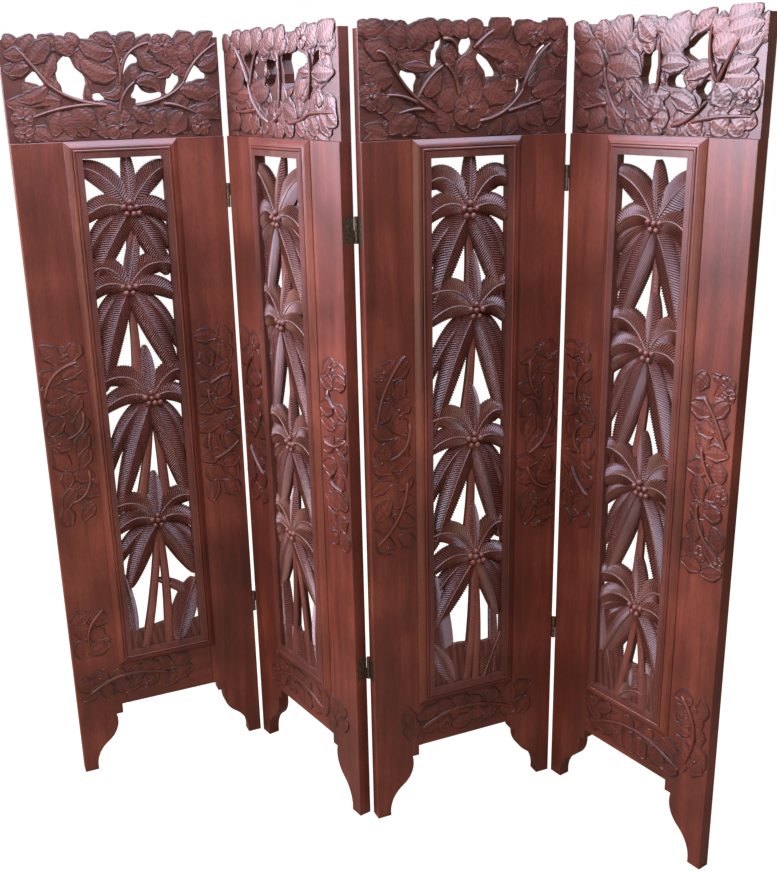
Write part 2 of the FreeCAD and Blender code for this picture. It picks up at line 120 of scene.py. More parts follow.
def linear(hex_colour):
    """An sRGB hex colour as linear red, green, blue and full alpha."""
    channels = [int(hex_colour[place:place + 2], 16) / 255 for place in (1, 3, 5)]
    return [c / 12.92 if c <= 0.04045 else ((c + 0.055) / 1.055) ** 2.4 for c in channels] + [1]


def add_node(tree, kind, inputs=(), **settings):
    """Adds a node, sets its properties, and fills its inputs with values or links from sockets."""
    node = tree.nodes.new("ShaderNode" + kind)
    for name, value in settings.items():
        setattr(node, name, value)
    for name, value in dict(inputs).items():
        if isinstance(value, bpy.types.NodeSocket):
            tree.links.new(value, node.inputs[name])
        else:
            node.inputs[name].default_value = value
    return node


def colour_ramp(tree, factor, stops):
    """A colour ramp with (position, hex colour) stops."""
    ramp = add_node(tree, "ValToRGB", {"Fac": factor})
    elements = ramp.color_ramp.elements
    while len(elements) < len(stops):
        elements.new(1)
    for element, (position, colour) in zip(elements, stops):
        element.position = position
        element.color = linear(colour)
    return ramp.outputs["Color"]


def new_material(name):
    material = bpy.data.materials.new(name)
    material.use_nodes = True
    material.node_tree.nodes.clear()
    return material, material.node_tree


# %% [markdown]
# The wood is a dense tropical hardwood, stained red brown and lacquered by hand. Its grain runs along
# each piece: up the stiles and boards, and across the rails. The grain is noise in real millimetres,
# stretched along the piece. Broad bands come from the tree's years, fine dashes are its open pores, and
# clouds are where the stain took better. In the cuts of the carving the stain has gathered, so each
# carved mesh carries an attribute that says how deep a point lies, and the colour darkens with it:
# the gathered stain together with painted shade, dark where shade falls in cuts, grooves and at edges.

# %% Wood
band_mm = 28.0
# Real pores are a few tenths of a millimetre wide: they are drawn coarser, so that they show
pore_mm = 1.1
cloud_mm = 170.0
grain_stretch = 14.0
deep_cut_shade = 0.9
shallow_cut_shade = 0.85
# Stops of the ramps: how far through the pattern, or how deep in a cut, and the colour there
pore_shades = [(0.30, "#8C8078"), (0.48, "#FFFFFF")]
# cut_shades darken the wood by how far a point lies in a cut: painted shade, with the stain that gathers
# there
cut_shades = [(0.0, "#FFFFFF"), (0.25, "#CDBFBB"), (0.6, "#7D6A65"), (1.0, "#40302C")]


def stained_wood(name, turn, along_z, cut_shade, dark, middle, light):
    """Stained, lacquered hardwood whose grain runs up, or across the panel when it is turned."""
    material, tree = new_material(name)
    place = add_node(tree, "TexCoord").outputs["Object"]
    turned = add_node(tree, "Mapping", {"Vector": place, "Rotation": (0, 0, -turn)}).outputs["Vector"]
    stretch = (1, 1, 1 / grain_stretch) if along_z else (1 / grain_stretch, 1, 1)
    lines = add_node(tree, "Mapping", {"Vector": turned, "Scale": stretch}).outputs["Vector"]
    bands, pores, clouds = [
        add_node(tree, "TexNoise", {"Vector": vector, "Scale": 1 / (size * mm), **settings}).outputs["Fac"]
        for vector, size, settings in (
            (lines, band_mm, {"Detail": 4.0, "Roughness": 0.6, "Distortion": 0.6}),
            (lines, pore_mm, {"Detail": 2.0}),
            (place, cloud_mm, {"Detail": 2.0}))]
    tone = add_node(tree, "Math", {0: bands, 1: clouds}, operation="ADD")
    tone = add_node(tree, "Math", {0: tone.outputs[0], 1: 0.5}, operation="MULTIPLY")
    colour = colour_ramp(tree, tone.outputs[0], [(0.34, dark), (0.5, middle), (0.66, light)])
    dashes = colour_ramp(tree, pores, pore_shades)
    stained = add_node(tree, "Mix", {"Factor": 0.7, 6: colour, 7: dashes},
                       data_type="RGBA", blend_type="MULTIPLY").outputs[2]
    if cut_shade:
        depth = add_node(tree, "Attribute", attribute_name="stain_and_painted_shade").outputs["Fac"]
        shade = colour_ramp(tree, depth, cut_shades)
        stained = add_node(tree, "Mix", {"Factor": cut_shade, 6: stained, 7: shade},
                           data_type="RGBA", blend_type="MULTIPLY").outputs[2]
    rough = add_node(tree, "MapRange", {"Value": clouds, 1: 0.3, 2: 0.7, 3: 0.38, 4: 0.50})
    height = add_node(tree, "Math", {0: pores, 1: bands}, operation="ADD")
    bump = add_node(tree, "Bump", {"Height": height.outputs[0], "Strength": 0.25, "Distance": 0.3 * mm})
    shader = add_node(tree, "BsdfPrincipled", {
        "Base Color": stained, "Roughness": rough.outputs[0], "IOR": 1.5, "Coat Weight": 0.6,
        "Coat Roughness": 0.36, "Normal": bump.outputs["Normal"]})
    add_node(tree, "OutputMaterial", {"Surface": shader.outputs["BSDF"]})
    return material


stain = {"dark": "#472013", "middle": "#632C1C", "light": "#80402B"}
# The palms' stain is lighter than the frame's: it makes up for the painted shade in their cuts, and on ribs
# and ridges, where little shade is painted, it shows as a painted highlight
palm_stain = {"dark": "#6B3D30", "middle": "#885041", "light": "#A16756"}
crest_stain = {"dark": "#4C2920", "middle": "#67382C", "light": "#7D4739"}
upright_wood = stained_wood("stained hardwood, grain upright", 0, True, 0, **stain)
palm_wood = stained_wood("carved hardwood of the palms, worn light", 0, True, deep_cut_shade, **palm_stain)
carved_wood = stained_wood("carved hardwood, grain upright", 0, True, shallow_cut_shade, **stain)
cross_wood = {}
carved_cross_wood = {}
for number in numbers:
    side = "odd" if number % 2 else "even"
    cross_wood[number] = stained_wood(f"stained hardwood, grain across, {side} panel {number}",
                                      panel_turn(number), False, 0, **stain)
    carved_cross_wood[number] = stained_wood(f"carved hardwood, grain across, {side} panel {number}",
                                             panel_turn(number), False, deep_cut_shade, **crest_stain)

# %% [markdown]
# The butt hinges are brass that has aged almost to brown, with a little of the metal's own colour where
# hands and the folding have rubbed it.

# %% Hinge metal
tarnish_mm = 6.0
tarnish_shades = [(0.35, "#57524A"), (0.55, "#787060"), (0.75, "#9A8F76")]
aged_brass, tree = new_material("aged brass, tarnished")
place = add_node(tree, "TexCoord").outputs["Object"]
patches = add_node(tree, "TexNoise", {"Vector": place, "Scale": 1 / (tarnish_mm * mm), "Detail": 5.0})
tarnish = colour_ramp(tree, patches.outputs["Fac"], tarnish_shades)
dull = add_node(tree, "MapRange", {"Value": patches.outputs["Fac"], 1: 0.3, 2: 0.7, 3: 0.6, 4: 0.35})
shader = add_node(tree, "BsdfPrincipled", {
    "Base Color": tarnish, "Metallic": 1.0, "Roughness": dull.outputs[0]})
add_node(tree, "OutputMaterial", {"Surface": shader.outputs["BSDF"]})
for node, piece in frame["nodes"].items():
    if node.startswith("hinge"):
        piece.data.materials.clear()
        piece.data.materials.append(aged_brass)

# %% [markdown]
# A finished mesh becomes a piece in three steps: it is stood in its panel's place, given its material,
# and told which body of the model it moves with. Its object stays at the origin, and its place is in
# its mesh.

# %% From mesh to piece


def mesh_of(name, shape):
    """Turns a bmesh into a mesh."""
    mesh = bpy.data.meshes.new(name)
    shape.to_mesh(mesh)
    shape.free()
    return mesh


def verts_of(made):
    """The vertices among what an operator made."""
    return [item for item in made["geom"] if isinstance(item, bmesh.types.BMVert)]


def finished(name, shape, number, material, replaces=()):
    """Makes a bmesh that is drawn in a panel's space into a piece that rides on the panel."""
    bmesh.ops.transform(shape, matrix=panel_matrix(number), verts=shape.verts)
    mesh = mesh_of(name, shape)
    mesh.materials.append(material)
    mesh.shade_flat()
    piece = new_object(name, mesh)
    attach(piece, f"panel_{number}")
    if replaces:
        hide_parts(*replaces)
    return piece


def join_patch(whole, patch):
    """Adds one closed patch to a piece's bmesh, with its faces turned outwards."""
    bmesh.ops.recalc_face_normals(patch, faces=patch.faces)
    mesh = mesh_of("patch", patch)
    whole.from_mesh(mesh)
    bpy.data.meshes.remove(mesh)


# %% [markdown]
# Three countersunk screws hold each hinge plate. A head is two half discs with the slot between them,
# a hair proud of its plate.

# %% Hinge screws
screw_radius = 3.0 * mm
screw_rise = 0.25 * mm
screw_sink = 0.6 * mm
slot_half = 0.4 * mm
screw_steps = 8
# Each screw's place on a plate: from the face that the knuckles are on, and up from the plate's foot
screw_places = [(16 * mm, 10 * mm), (11 * mm, 28 * mm), (16 * mm, 46 * mm)]


def carve_screw(whole, centre, outward, turn):
    """Adds a slotted head to a panel's edge, whose outward side is -1 at the left and 1 at the right."""
    first = math.asin(slot_half / screw_radius)
    angles = [first + (math.pi - 2 * first) * step / screw_steps for step in range(screw_steps + 1)]
    stand = Matrix.Translation(centre) @ Matrix.Rotation(turn, 4, "X")
    for side in (-1, 1):
        half = bmesh.new()
        rim = [half.verts.new((outward * screw_rise, math.cos(angle) * screw_radius,
                               side * math.sin(angle) * screw_radius)) for angle in angles]
        for vert in verts_of(bmesh.ops.extrude_face_region(half, geom=[half.faces.new(rim)])):
            vert.co.x = -outward * screw_sink
        bmesh.ops.transform(half, matrix=stand, verts=half.verts)
        join_patch(whole, half)


for joint in numbers[:-1]:
    chance = random.Random(joint)
    for level in ("lower", "upper"):
        for side, number in (("left", joint), ("right", joint + 1)):
            hinge = f"{joint}{joint + 1}_{level}_{side}"
            low = min(vert.co.z for vert in frame["nodes"][f"hinge_{hinge}_plate"].data.vertices)
            across, outward = (panel_width, 1) if side == "left" else (0, -1)
            screws = bmesh.new()
            for inset, rise in screw_places:
                back = frame_thickness - inset if joint == 2 else inset
                carve_screw(screws, Vector((across, back, low + rise)), outward, chance.uniform(0, math.pi))
            finished(f"screws_{hinge}", screws, number, aged_brass)
print("hinge screws: 36")

# %% [markdown]
# The stiles and rails were planed and then sanded by hand, so no edge is knife sharp. Each is a copy of
# the CAD piece: its triangles are merged back into flat faces and its edges get a small bevel, which
# catches the light as a real worn edge does.

# %% Stiles and rails with eased edges
edge_ease = 1.6 * mm
flat_angle = math.radians(2)
sharp_angle = math.radians(25)


def eased_copy(node, number, material):
    """A copy of a CAD node with its flat faces whole and its edges eased."""
    shape = bmesh.new()
    shape.from_mesh(frame["nodes"][node].data)
    bmesh.ops.remove_doubles(shape, verts=shape.verts, dist=0.01 * mm)
    bmesh.ops.dissolve_limit(shape, angle_limit=flat_angle, verts=shape.verts, edges=shape.edges)
    sharp = [edge for edge in shape.edges
             if len(edge.link_faces) == 2 and edge.calc_face_angle() > sharp_angle]
    bmesh.ops.bevel(shape, geom=sharp, offset=edge_ease, offset_type="OFFSET", segments=2, profile=0.5,
                    affect="EDGES", clamp_overlap=True, material=-1)
    bmesh.ops.transform(shape, matrix=panel_matrix(number).inverted(), verts=shape.verts)
    finished(node.replace("panel", "eased"), shape, number, material, [node])


for number in numbers:
    for side in ("left", "right"):
        eased_copy(f"panel_{number}_{side}_stile", number, upright_wood)
    eased_copy(f"panel_{number}_bottom_rail", number, cross_wood[number])
print("eased stiles and rails: 12")

# %% [markdown]
# The raised moulding is planed in one long length and mitred at the corners. Its outline is a sloping
# hollow that rises from the frame, a narrow quirk, and a rounded lip beside the board. The outline is
# drawn once, stood at one mitre, and pushed to the other, so that it meets its neighbour on the diagonal.

# %% Raised moulding
stile_width = 124 * mm
opening_top = 1588 * mm
rail_top = 303 * mm
moulding_lap = 12 * mm
moulding_width = 24 * mm
moulding_height = 13 * mm
moulding_left = stile_width - moulding_lap
moulding_right = panel_width - moulding_left
moulding_bottom = rail_top - moulding_lap
moulding_top = opening_top + moulding_lap
slope_steps = 5
lip_steps = 5
# Where its outline turns, as shares of its width and height
outer_rise_share = 0.12
slope_start_share = 0.14
slope_end_share = 0.68
slope_rise_share = 0.86
quirk_share = 0.74
quirk_rise_share = 0.68
lip_rise_share = 0.80
# The corners that each length runs between
moulding_ends = {"left": ("bottom left", "top left"), "right": ("bottom right", "top right"),
                 "top": ("top left", "top right"), "bottom": ("bottom left", "bottom right")}


def moulding_outline():
    """The moulding's outline from its outer edge to its inner one, as (inward, proud) in metres."""
    points = [(0, 0), (0, outer_rise_share)]
    for step in range(slope_steps + 1):
        share = step / slope_steps
        rise = (slope_rise_share - slope_start_share) * math.sin(share * math.pi / 2)
        points.append((slope_end_share * share, slope_start_share + rise))
    points.append((quirk_share, quirk_rise_share))
    middle = (quirk_share + 1) / 2
    reach = (1 - quirk_share) / 2
    for step in range(lip_steps + 1):
        angle = math.pi * step / lip_steps
        rise = (1 - lip_rise_share) * math.sin(angle)
        points.append((middle - reach * math.cos(angle), lip_rise_share + rise))
    points.append((1, 0))
    return [(inward * moulding_width, proud * moulding_height) for inward, proud in points]


def moulding_piece(number, side):
    """One length of moulding, mitred at both ends."""
    shape = bmesh.new()
    rings = []
    for corner in moulding_ends[side]:
        right, top = "right" in corner, "top" in corner
        ring = []
        for inward, proud in moulding_outline():
            across = moulding_right - inward if right else moulding_left + inward
            up = moulding_top - inward if top else moulding_bottom + inward
            ring.append(shape.verts.new((across, -proud, up)))
        rings.append(shape.faces.new(ring))
    bmesh.ops.bridge_loops(shape, edges=[edge for face in rings for edge in face.edges])
    bmesh.ops.recalc_face_normals(shape, faces=shape.faces)
    material = upright_wood if side in ("left", "right") else cross_wood[number]
    finished(f"moulding_{number}_{side}", shape, number, material, [f"panel_{number}_{side}_moulding"])


for number in numbers:
    for side in moulding_ends:
        moulding_piece(number, side)
print("mouldings: 16")

# %% [markdown]
# Everything on the carved boards is one kind of thing to the carver: a patch of wood with its own top
# surface and walls cut down to the back. A patch starts as a flat grid. A rule bends it: for each
# share along and across it gives a place, and how much painted shade, with gathered stain, darkens it
# there. The rim is then pushed down to a flat back and filled, which leaves a closed solid whose walls
# and back get painted shade too. Flat backs that share one plane would show black specks where they
# overlap, so each lies a hair off the last. The board that a patch is carved on is three things: its
# bmesh, how deep its patches go, and the limits that none of them passes.

# %% Carved patches
# How much painted shade the walls and backs of the patches get
back_shade = 0.6
back_step = 0.03 * mm
back_levels = 30
patch_order = itertools.count()


def empty_board():
    """A bmesh whose vertices carry the attribute that the wood's colour reads."""
    whole = bmesh.new()
    whole.verts.layers.float.new("stain_and_painted_shade")
    return whole


def carved_patch(board, along_steps, across_steps, rule):
    """Bends a grid by rule(along 0 to 1, across -1 to 1), walls it down to the back, and adds it."""
    whole, back, (left, right, low, high) = board
    patch = bmesh.new()
    stain_and_painted_shade = patch.verts.layers.float.new("stain_and_painted_shade")
    bmesh.ops.create_grid(patch, x_segments=along_steps, y_segments=across_steps, size=1)
    for vert in patch.verts:
        place, vert[stain_and_painted_shade] = rule((vert.co.x + 1) / 2, vert.co.y)
        vert.co = Vector((min(right, max(left, place.x)), place.y, min(high, max(low, place.z))))
    rim = [edge for edge in patch.edges if edge.is_boundary]
    nudge = next(patch_order) % back_levels * back_step
    for vert in verts_of(bmesh.ops.extrude_edge_only(patch, edges=rim)):
        vert.co.y = back - nudge
        vert[stain_and_painted_shade] = back_shade
    loose = [edge for edge in patch.edges if edge.is_boundary]
    bmesh.ops.contextual_create(patch, geom=loose)
    join_patch(whole, patch)


def curve_point(start, control, end, share):
    """A place on the curve that leaves start for control and arrives at end, and the way to its left."""
    rest = 1 - share
    place = start * rest * rest + control * 2 * rest * share + end * share * share
    heading = ((control - start) * rest + (end - control) * share).normalized()
    return place, Vector((-heading.z, 0, heading.x))


def row_places(row, place):
    """The places that a table's row of numbers, across and up in turn, stands for."""
    return [place(across, up) for across, up in zip(row[::2], row[1::2])]


# %% [markdown]
# A palm frond has a round rib and two rows of leaflets that sweep towards its tip. The rule follows the
# rib's curve. Across the frond the surface drops from rib to edge, and along it a saw tooth cuts
# one groove for each leaflet. Grid lines are swept forward like the leaflets, so each groove is
# crisp, and the edge is notched where leaflets end.

# %% Palm frond
leaflet_pitch = 5.4 * mm
leaflet_cuts = 4
leaflet_depth = 2.6 * mm
leaflet_sweep = 0.55
rib_half_width = 2.0 * mm
rib_rise = 1.6 * mm
frond_drop = 5.0 * mm
frond_bulge = 1.5 * mm
frond_root = 3 * mm
frond_across = 8
notch_share = 0.09


def frond_half_width(along, belly):
    """Half the frond's width: it opens fast from a narrow root and closes to a point."""
    opened = math.sin(math.pi * min(1, along) ** 0.76) ** 0.5 if 0 < along < 1 else 0
    return max(belly * opened, frond_root * (1 - along))


def carve_frond(board, start, control, end, belly, front, tip_front):
    """Adds one frond: its rib runs from start to end, its top from front to tip_front."""
    length = (control - start).length * 0.5 + (end - control).length * 0.5 + (end - start).length * 0.5
    leaflets = max(4, round(length / leaflet_pitch))

    def rule(along, across):
        side = abs(across)
        cut = round(along * leaflets * leaflet_cuts) % leaflet_cuts / leaflet_cuts
        tooth = 1 - abs(2 * cut - 1)
        sweep = leaflet_sweep * belly * side ** 1.4 / length * math.sin(math.pi * along) ** 0.5
        centre, outward = curve_point(start, control, end, min(1, along + sweep))
        half = max(frond_half_width(along, belly), rib_half_width * 1.3)
        column = round(side * frond_across / 2)
        spread = (side - 2 / frond_across) / (1 - 2 / frond_across)
        reach = rib_half_width + (half - rib_half_width) * spread if column else 0
        edge = side ** 6
        reach *= 1 - notch_share * edge * tooth
        rise = front + (tip_front - front) * along ** 1.5 - frond_drop * side ** 2
        rise += frond_bulge * math.sin(math.pi * side) * math.sin(math.pi * along)
        rise -= leaflet_depth * tooth * (1 if column > 1 else 0.5 * column)
        rise += rib_rise if column == 0 else 0
        place = centre + outward * math.copysign(reach, across)
        place.y = -rise
        # Painted shade: darkest in each leaflet's groove and towards the edge, none on the rib
        stain_and_painted_shade = 0.0 if column == 0 else min(1, 0.9 * tooth ** 0.7 + (0.3 if column == 1 else 0.2 * edge))
        return place, stain_and_painted_shade

    carved_patch(board, leaflets * leaflet_cuts, frond_across, rule)


# %% [markdown]
# The trunk is a half-round bar with faint rings where old fronds fell. It widens to its foot and hides
# behind the crown of the next palm. The coconuts are plain balls, crowded round the crown's heart.

# %% Trunk and coconuts
ring_pitch = 9 * mm
ring_depth = 0.25 * mm
trunk_across = 6
trunk_lean = 0.04
# How proud a trunk's middle is, as a share of its half width
trunk_roundness = 0.55
nut_radius = 7.2 * mm
nut_proud = 11.5 * mm
plain_hollow = 0.3


def carve_trunk(board, top, foot, top_half, foot_half, front):
    """Adds a trunk from its top down to its foot."""
    rings = max(4, round((top - foot).length / ring_pitch))
    lean = (top + foot) / 2 + Vector((trunk_lean * (top - foot).length, 0, 0))

    def rule(along, across):
        centre, outward = curve_point(top, lean, foot, along)
        half = top_half + (foot_half - top_half) * along ** 1.3
        ring = round(along * rings * 2) % 2
        place = centre + outward * half * math.sin(across * math.pi / 2)
        place.y = -(front + trunk_roundness * half * math.cos(across * math.pi / 2) - ring_depth * ring)
        # Painted shade in the rings' grooves and down the trunk's round sides
        return place, 0.2 + 0.12 * ring + 0.6 * abs(across) ** 3

    carved_patch(board, rings * 2, trunk_across, rule)


def carve_ball(board, centre, radius):
    """Adds a coconut or a bead, half sunk in the wood round it."""
    ball = bmesh.new()
    stain_and_painted_shade = ball.verts.layers.float.new("stain_and_painted_shade")
    bmesh.ops.create_uvsphere(ball, u_segments=16, v_segments=10, radius=radius)
    bmesh.ops.translate(ball, vec=centre, verts=ball.verts)
    for vert in ball.verts:
        vert[stain_and_painted_shade] = plain_hollow
    join_patch(board[0], ball)


# %% [markdown]
# A crown is nine fronds and a handful of nuts. One frond stands upright behind the heart, one pair
# rises to the border and one arches over to it, and two pairs hang down beside the trunk as far as the
# palm below. Two of the boards are closer carved and have a lower arching pair too. The tables give
# each frond's tip and the point that its rib heads for. Every crown varies them a little, as a carver
# does who draws by eye, with a seed that makes it the same each time.

# %% Palm boards
board_rise = 12 * mm
board_back = 8 * mm
field_left = moulding_left + moulding_width
field_right = moulding_right - moulding_width
field_bottom = moulding_bottom + moulding_width
field_top = moulding_top - moulding_width
border_width = 14 * mm
field_gap = 0.3 * mm
pierced_width = field_right - field_left - 2 * border_width
pierced_bottom = field_bottom + border_width
pierced_height = field_top - border_width - pierced_bottom
field_centre = (field_left + field_right) / 2
board_limits = (field_left + 2 * mm, field_right - 2 * mm, field_bottom + 2 * mm, field_top - 2 * mm)

# Crowns, from the top: heart across and up, then how high the rising pair's tips and bends are
crown_shares = {
    1: [(0.03, 0.905, 0.56, 0.5), (-0.07, 0.757, 0.2, 0.45), (0.09, 0.536, 0.3, 0.5),
        (0.03, 0.278, 0.25, 0.48)],
    2: [(-0.05, 0.888, 0.58, 0.5), (-0.07, 0.698, 0.28, 0.5), (0.03, 0.464, 0.25, 0.48),
        (-0.07, 0.275, 0.24, 0.46)],
    3: [(0, 0.909, 0.3, 0.6), (0.09, 0.733, 0.22, 0.42), (0.07, 0.494, 0.28, 0.5),
        (0.1, 0.26, 0.36, 0.6)],
    4: [(0.09, 0.89, 0.57, 0.47), (0.08, 0.672, 0.28, 0.5), (0.09, 0.428, 0.38, 0.52),
        (0.12, 0.197, 0.22, 0.48)],
}
# Where the trunks under each crown stand, level with the next crown's heart or at the board's foot
trunk_shares = {
    1: [(-0.05,), (-0.08,), (-0.24, 0.17), (-0.29, 0.04)],
    2: [(-0.07,), (0.05,), (-0.1,), (-0.2, 0.2)],
    3: [(0.03,), (-0.07,), (-0.01,), (0, 0.13)],
    4: [(0.02,), (-0.14,), (0,), (-0.15, 0.28)],
}
# Half width at the top and at the foot, and how proud, of a trunk between crowns and of the last ones
middle_trunk = (8 * mm, 16 * mm, -3.5 * mm)
last_trunk = (9 * mm, 12 * mm, 2 * mm)
base_shares = {1: 0.045, 2: 0.056, 3: 0.078, 4: 0.078}

# Fronds: tip across from the field's centre and up from the heart, rib's bend across and up from the
# heart, half width, all as shares of the pierced width, then how proud the frond is in millimetres
upright_frond = (0.06, 0.74, 0.03, 0.34, 0.1, 9)
rising_fronds = [(-0.6, -0.25, 0.155, 9.5), (0.6, 0.26, 0.155, 9)]
arching_fronds = [(-0.6, -0.15, -0.33, 0.22, 0.14, 11), (0.6, -0.18, 0.34, 0.18, 0.135, 11.5)]
# Only the crowns of these panels have a lower arching pair too, and all their fronds are wider
dense_panels = (2, 4)
dense_widening = 1.1
lower_fronds = [(-0.6, -0.4, -0.41, 0.04, 0.105, 6), (0.6, -0.43, 0.42, 0.02, 0.1, 6)]
# The hanging pairs' heights are shares of the drop to the next crown, and so is last_drop's
hanging_fronds = [
    (-0.6, -0.64, -0.4, -0.12, 0.12, 4), (0.6, -0.66, 0.4, -0.15, 0.115, 4),
    (-0.47, -0.9, -0.24, -0.27, 0.155, 11), (0.48, -0.86, 0.25, -0.29, 0.155, 11.5),
]
last_drop = 1.05
# How much less proud a frond's tip is than its root, in millimetres, and from what height it hangs
tip_drop = 4.5
hanging_tip_drop = 7
hanging_height = -0.4

# What grows at the foot of each board: a frond's root, its bend and its tip, across from the centre and
# up from the pierced bottom, then half width, all as shares of the pierced width, and how proud it is
foot_fronds = {
    1: [(-0.46, -0.02, -0.4, 0.55, -0.52, 1.2, 0.085, 5), (0.47, 0.6, 0.26, 0.88, -0.06, 1, 0.08, 3.5),
        (0.18, -0.02, 0.26, 0.45, 0.49, 0.92, 0.19, 8)],
    2: [(-0.42, -0.02, -0.36, 0.6, -0.5, 1.4, 0.15, 5), (0.42, -0.02, 0.36, 0.6, 0.5, 1.3, 0.15, 5),
        (-0.16, -0.02, -0.16, 0.3, -0.14, 0.5, 0.12, 7)],
    3: [(-0.3, 0.1, -0.44, 0.8, -0.48, 1.6, 0.21, 4.5), (0.4, 0, 0.44, 0.6, 0.36, 1.4, 0.07, 4.5),
        (-0.2, -0.02, -0.36, 0.35, -0.5, 0.62, 0.14, 8), (0.24, -0.02, 0.36, 0.3, 0.5, 0.6, 0.13, 8)],
    4: [(-0.24, 0.1, -0.36, 0.7, -0.5, 1.4, 0.24, 4.5), (0.38, 0.1, 0.38, 0.7, 0.5, 1.3, 0.15, 4.5),
        (0.12, 0.1, 0.12, 0.32, 0.12, 0.54, 0.11, 7), (-0.1, -0.02, 0.04, 0.22, 0.3, 0.2, 0.12, 9)],
}
foot_tip_drop = 2
base_lap = 4 * mm
base_wave = 5 * mm
base_steps = (40, 6)
# Radians of wave and furrow across the board, and how proud earth and furrows are in millimetres
base_waves = 9
base_furrows = 75
base_front = 3.5
furrow_front = 1.5
nut_shares = [(0, 0.02), (0.085, 0.03), (-0.08, 0.035), (0.04, -0.055), (-0.045, -0.05), (0, 0.095),
              (0.11, -0.05)]
sway = 0.035


def carve_crown(board, heart, lift, bend, drop, dense, chance):
    """Adds a palm's fronds and nuts round its heart."""
    def swayed(*shares):
        across, up = [share + chance.uniform(-sway, sway) for share in shares]
        return Vector((across, 0, up)) * pierced_width

    rows = [upright_frond]
    rows += [(row[0], lift, row[1], bend, *row[2:]) for row in rising_fronds]
    rows += [(row[0], row[1] * drop, row[2], row[3] * drop, *row[4:]) for row in hanging_fronds]
    rows += lower_fronds if dense else []
    rows += arching_fronds
    for tip_across, tip_up, bend_across, bend_up, half, front in rows:
        tip = Vector((field_centre, 0, heart.z)) + swayed(tip_across, tip_up)
        bend_point = heart + swayed(bend_across, bend_up)
        tip_front = front - (hanging_tip_drop if tip_up < hanging_height else tip_drop)
        half *= dense_widening if dense else 1
        carve_frond(board, heart, bend_point, tip, half * pierced_width, front * mm, tip_front * mm)
    for across, up in nut_shares[:chance.choice((5, 6, 7))]:
        centre = heart + Vector((across, 0, up)) * pierced_width
        centre.y = -nut_proud
        carve_ball(board, centre, nut_radius * chance.uniform(0.9, 1.08))


def border_ring(whole):
    """Adds the flat border round the pierced field."""
    ring = bmesh.new()
    stain_and_painted_shade = ring.verts.layers.float.new("stain_and_painted_shade")
    bmesh.ops.create_grid(ring, x_segments=1, y_segments=1, size=0.5)
    size = Vector((field_right - field_left - 2 * field_gap, field_top - field_bottom - 2 * field_gap, 1))
    bmesh.ops.scale(ring, vec=size, verts=ring.verts)
    centre = Vector((field_centre, (field_top + field_bottom) / 2, 0))
    bmesh.ops.translate(ring, vec=centre, verts=ring.verts)
    inner = ring.faces[:]
    bmesh.ops.inset_region(ring, faces=inner, use_boundary=True, use_even_offset=True,
                           thickness=border_width - field_gap)
    bmesh.ops.delete(ring, geom=inner, context="FACES_ONLY")
    for vert in ring.verts:
        vert.co = Vector((vert.co.x, -board_rise, vert.co.y))
    for vert in verts_of(bmesh.ops.extrude_face_region(ring, geom=ring.faces[:])):
        vert.co.y = board_back
    for vert in ring.verts:
        vert[stain_and_painted_shade] = 1.5 * plain_hollow
    join_patch(whole, ring)


def carve_base(board, top):
    """Adds the bank of earth at the foot of a board."""
    low = pierced_bottom - base_lap

    def rule(along, across):
        up = low + (top - low) * (across + 1) / 2
        up += base_wave * math.sin(along * base_waves + top * 40) * (across + 1) / 2
        furrow = 0.5 + 0.5 * math.sin(along * base_furrows + 2 * across)
        place = Vector((field_left + (field_right - field_left) * along,
                        -(base_front + furrow_front * furrow) * mm, up))
        # Painted shade, darker in the furrows
        return place, 0.75 - 0.4 * furrow

    carved_patch(board, *base_steps, rule)


def foot_place(across, up):
    """A place on a palm board, from the middle of its pierced foot."""
    return Vector((field_centre + across * pierced_width, 0, pierced_bottom + up * pierced_width))


def palm_board(number):
    """The pierced board of one panel."""
    chance = random.Random(number)
    board = (empty_board(), board_back, board_limits)
    border_ring(board[0])
    crowns = []
    for across, up, lift, bend in crown_shares[number]:
        heart = Vector((field_centre + across * pierced_width, 0, pierced_bottom + up * pierced_height))
        crowns.append((heart, lift, bend))
    hearts = [heart for heart, lift, bend in crowns]
    levels = [heart.z for heart in hearts[1:]] + [pierced_bottom]
    for heart, level, feet in zip(hearts, levels, trunk_shares[number]):
        trunk = last_trunk if level == pierced_bottom else middle_trunk
        for across in feet:
            carve_trunk(board, heart, Vector((field_centre + across * pierced_width, 0, level)), *trunk)
    carve_base(board, pierced_bottom + base_shares[number] * pierced_height)
    for row in foot_fronds[number]:
        half, front = row[6:]
        carve_frond(board, *row_places(row[:6], foot_place), half * pierced_width, front * mm,
                    (front - foot_tip_drop) * mm)
    drops = [(heart.z - below.z) / pierced_width for heart, below in zip(hearts, hearts[1:])] + [last_drop]
    for (heart, lift, bend), drop in zip(crowns, drops):
        carve_crown(board, heart, lift, bend, drop, number in dense_panels, chance)
    return finished(f"palms_{number}", board[0], number, palm_wood, [f"panel_{number}_palm_board"])


for number in numbers:
    board = palm_board(number)
    print(board.name, "faces:", len(board.data.polygons))

# %% [markdown]
# The crest rails and the stiles are carved with a flowering vine: round stems, oval leaves with a raised
# midrib and slanting veins, and round blossoms. A leaf is a patch whose rule domes it from its edge to
# its midrib. A stem is a half-round patch on a curve. A blossom is five short broad leaves round a
# bead.

# %% Leaves, stems and blossoms
vein_pitch = 9 * mm
lobe_pitch = 21 * mm
lobe_share = 0.07
midrib_rise = 0.9 * mm
vein_depth = 0.2 * mm
leaf_along = 18
leaf_across = 8
stem_across = 4
stem_pitch = 8 * mm
stem_sink = 3.5 * mm
leaf_roundness = 0.62
leaf_blunt = 0.8
leaf_tip_share = 0.04
leaf_crowding = 0.85
dome_shift = 0.08
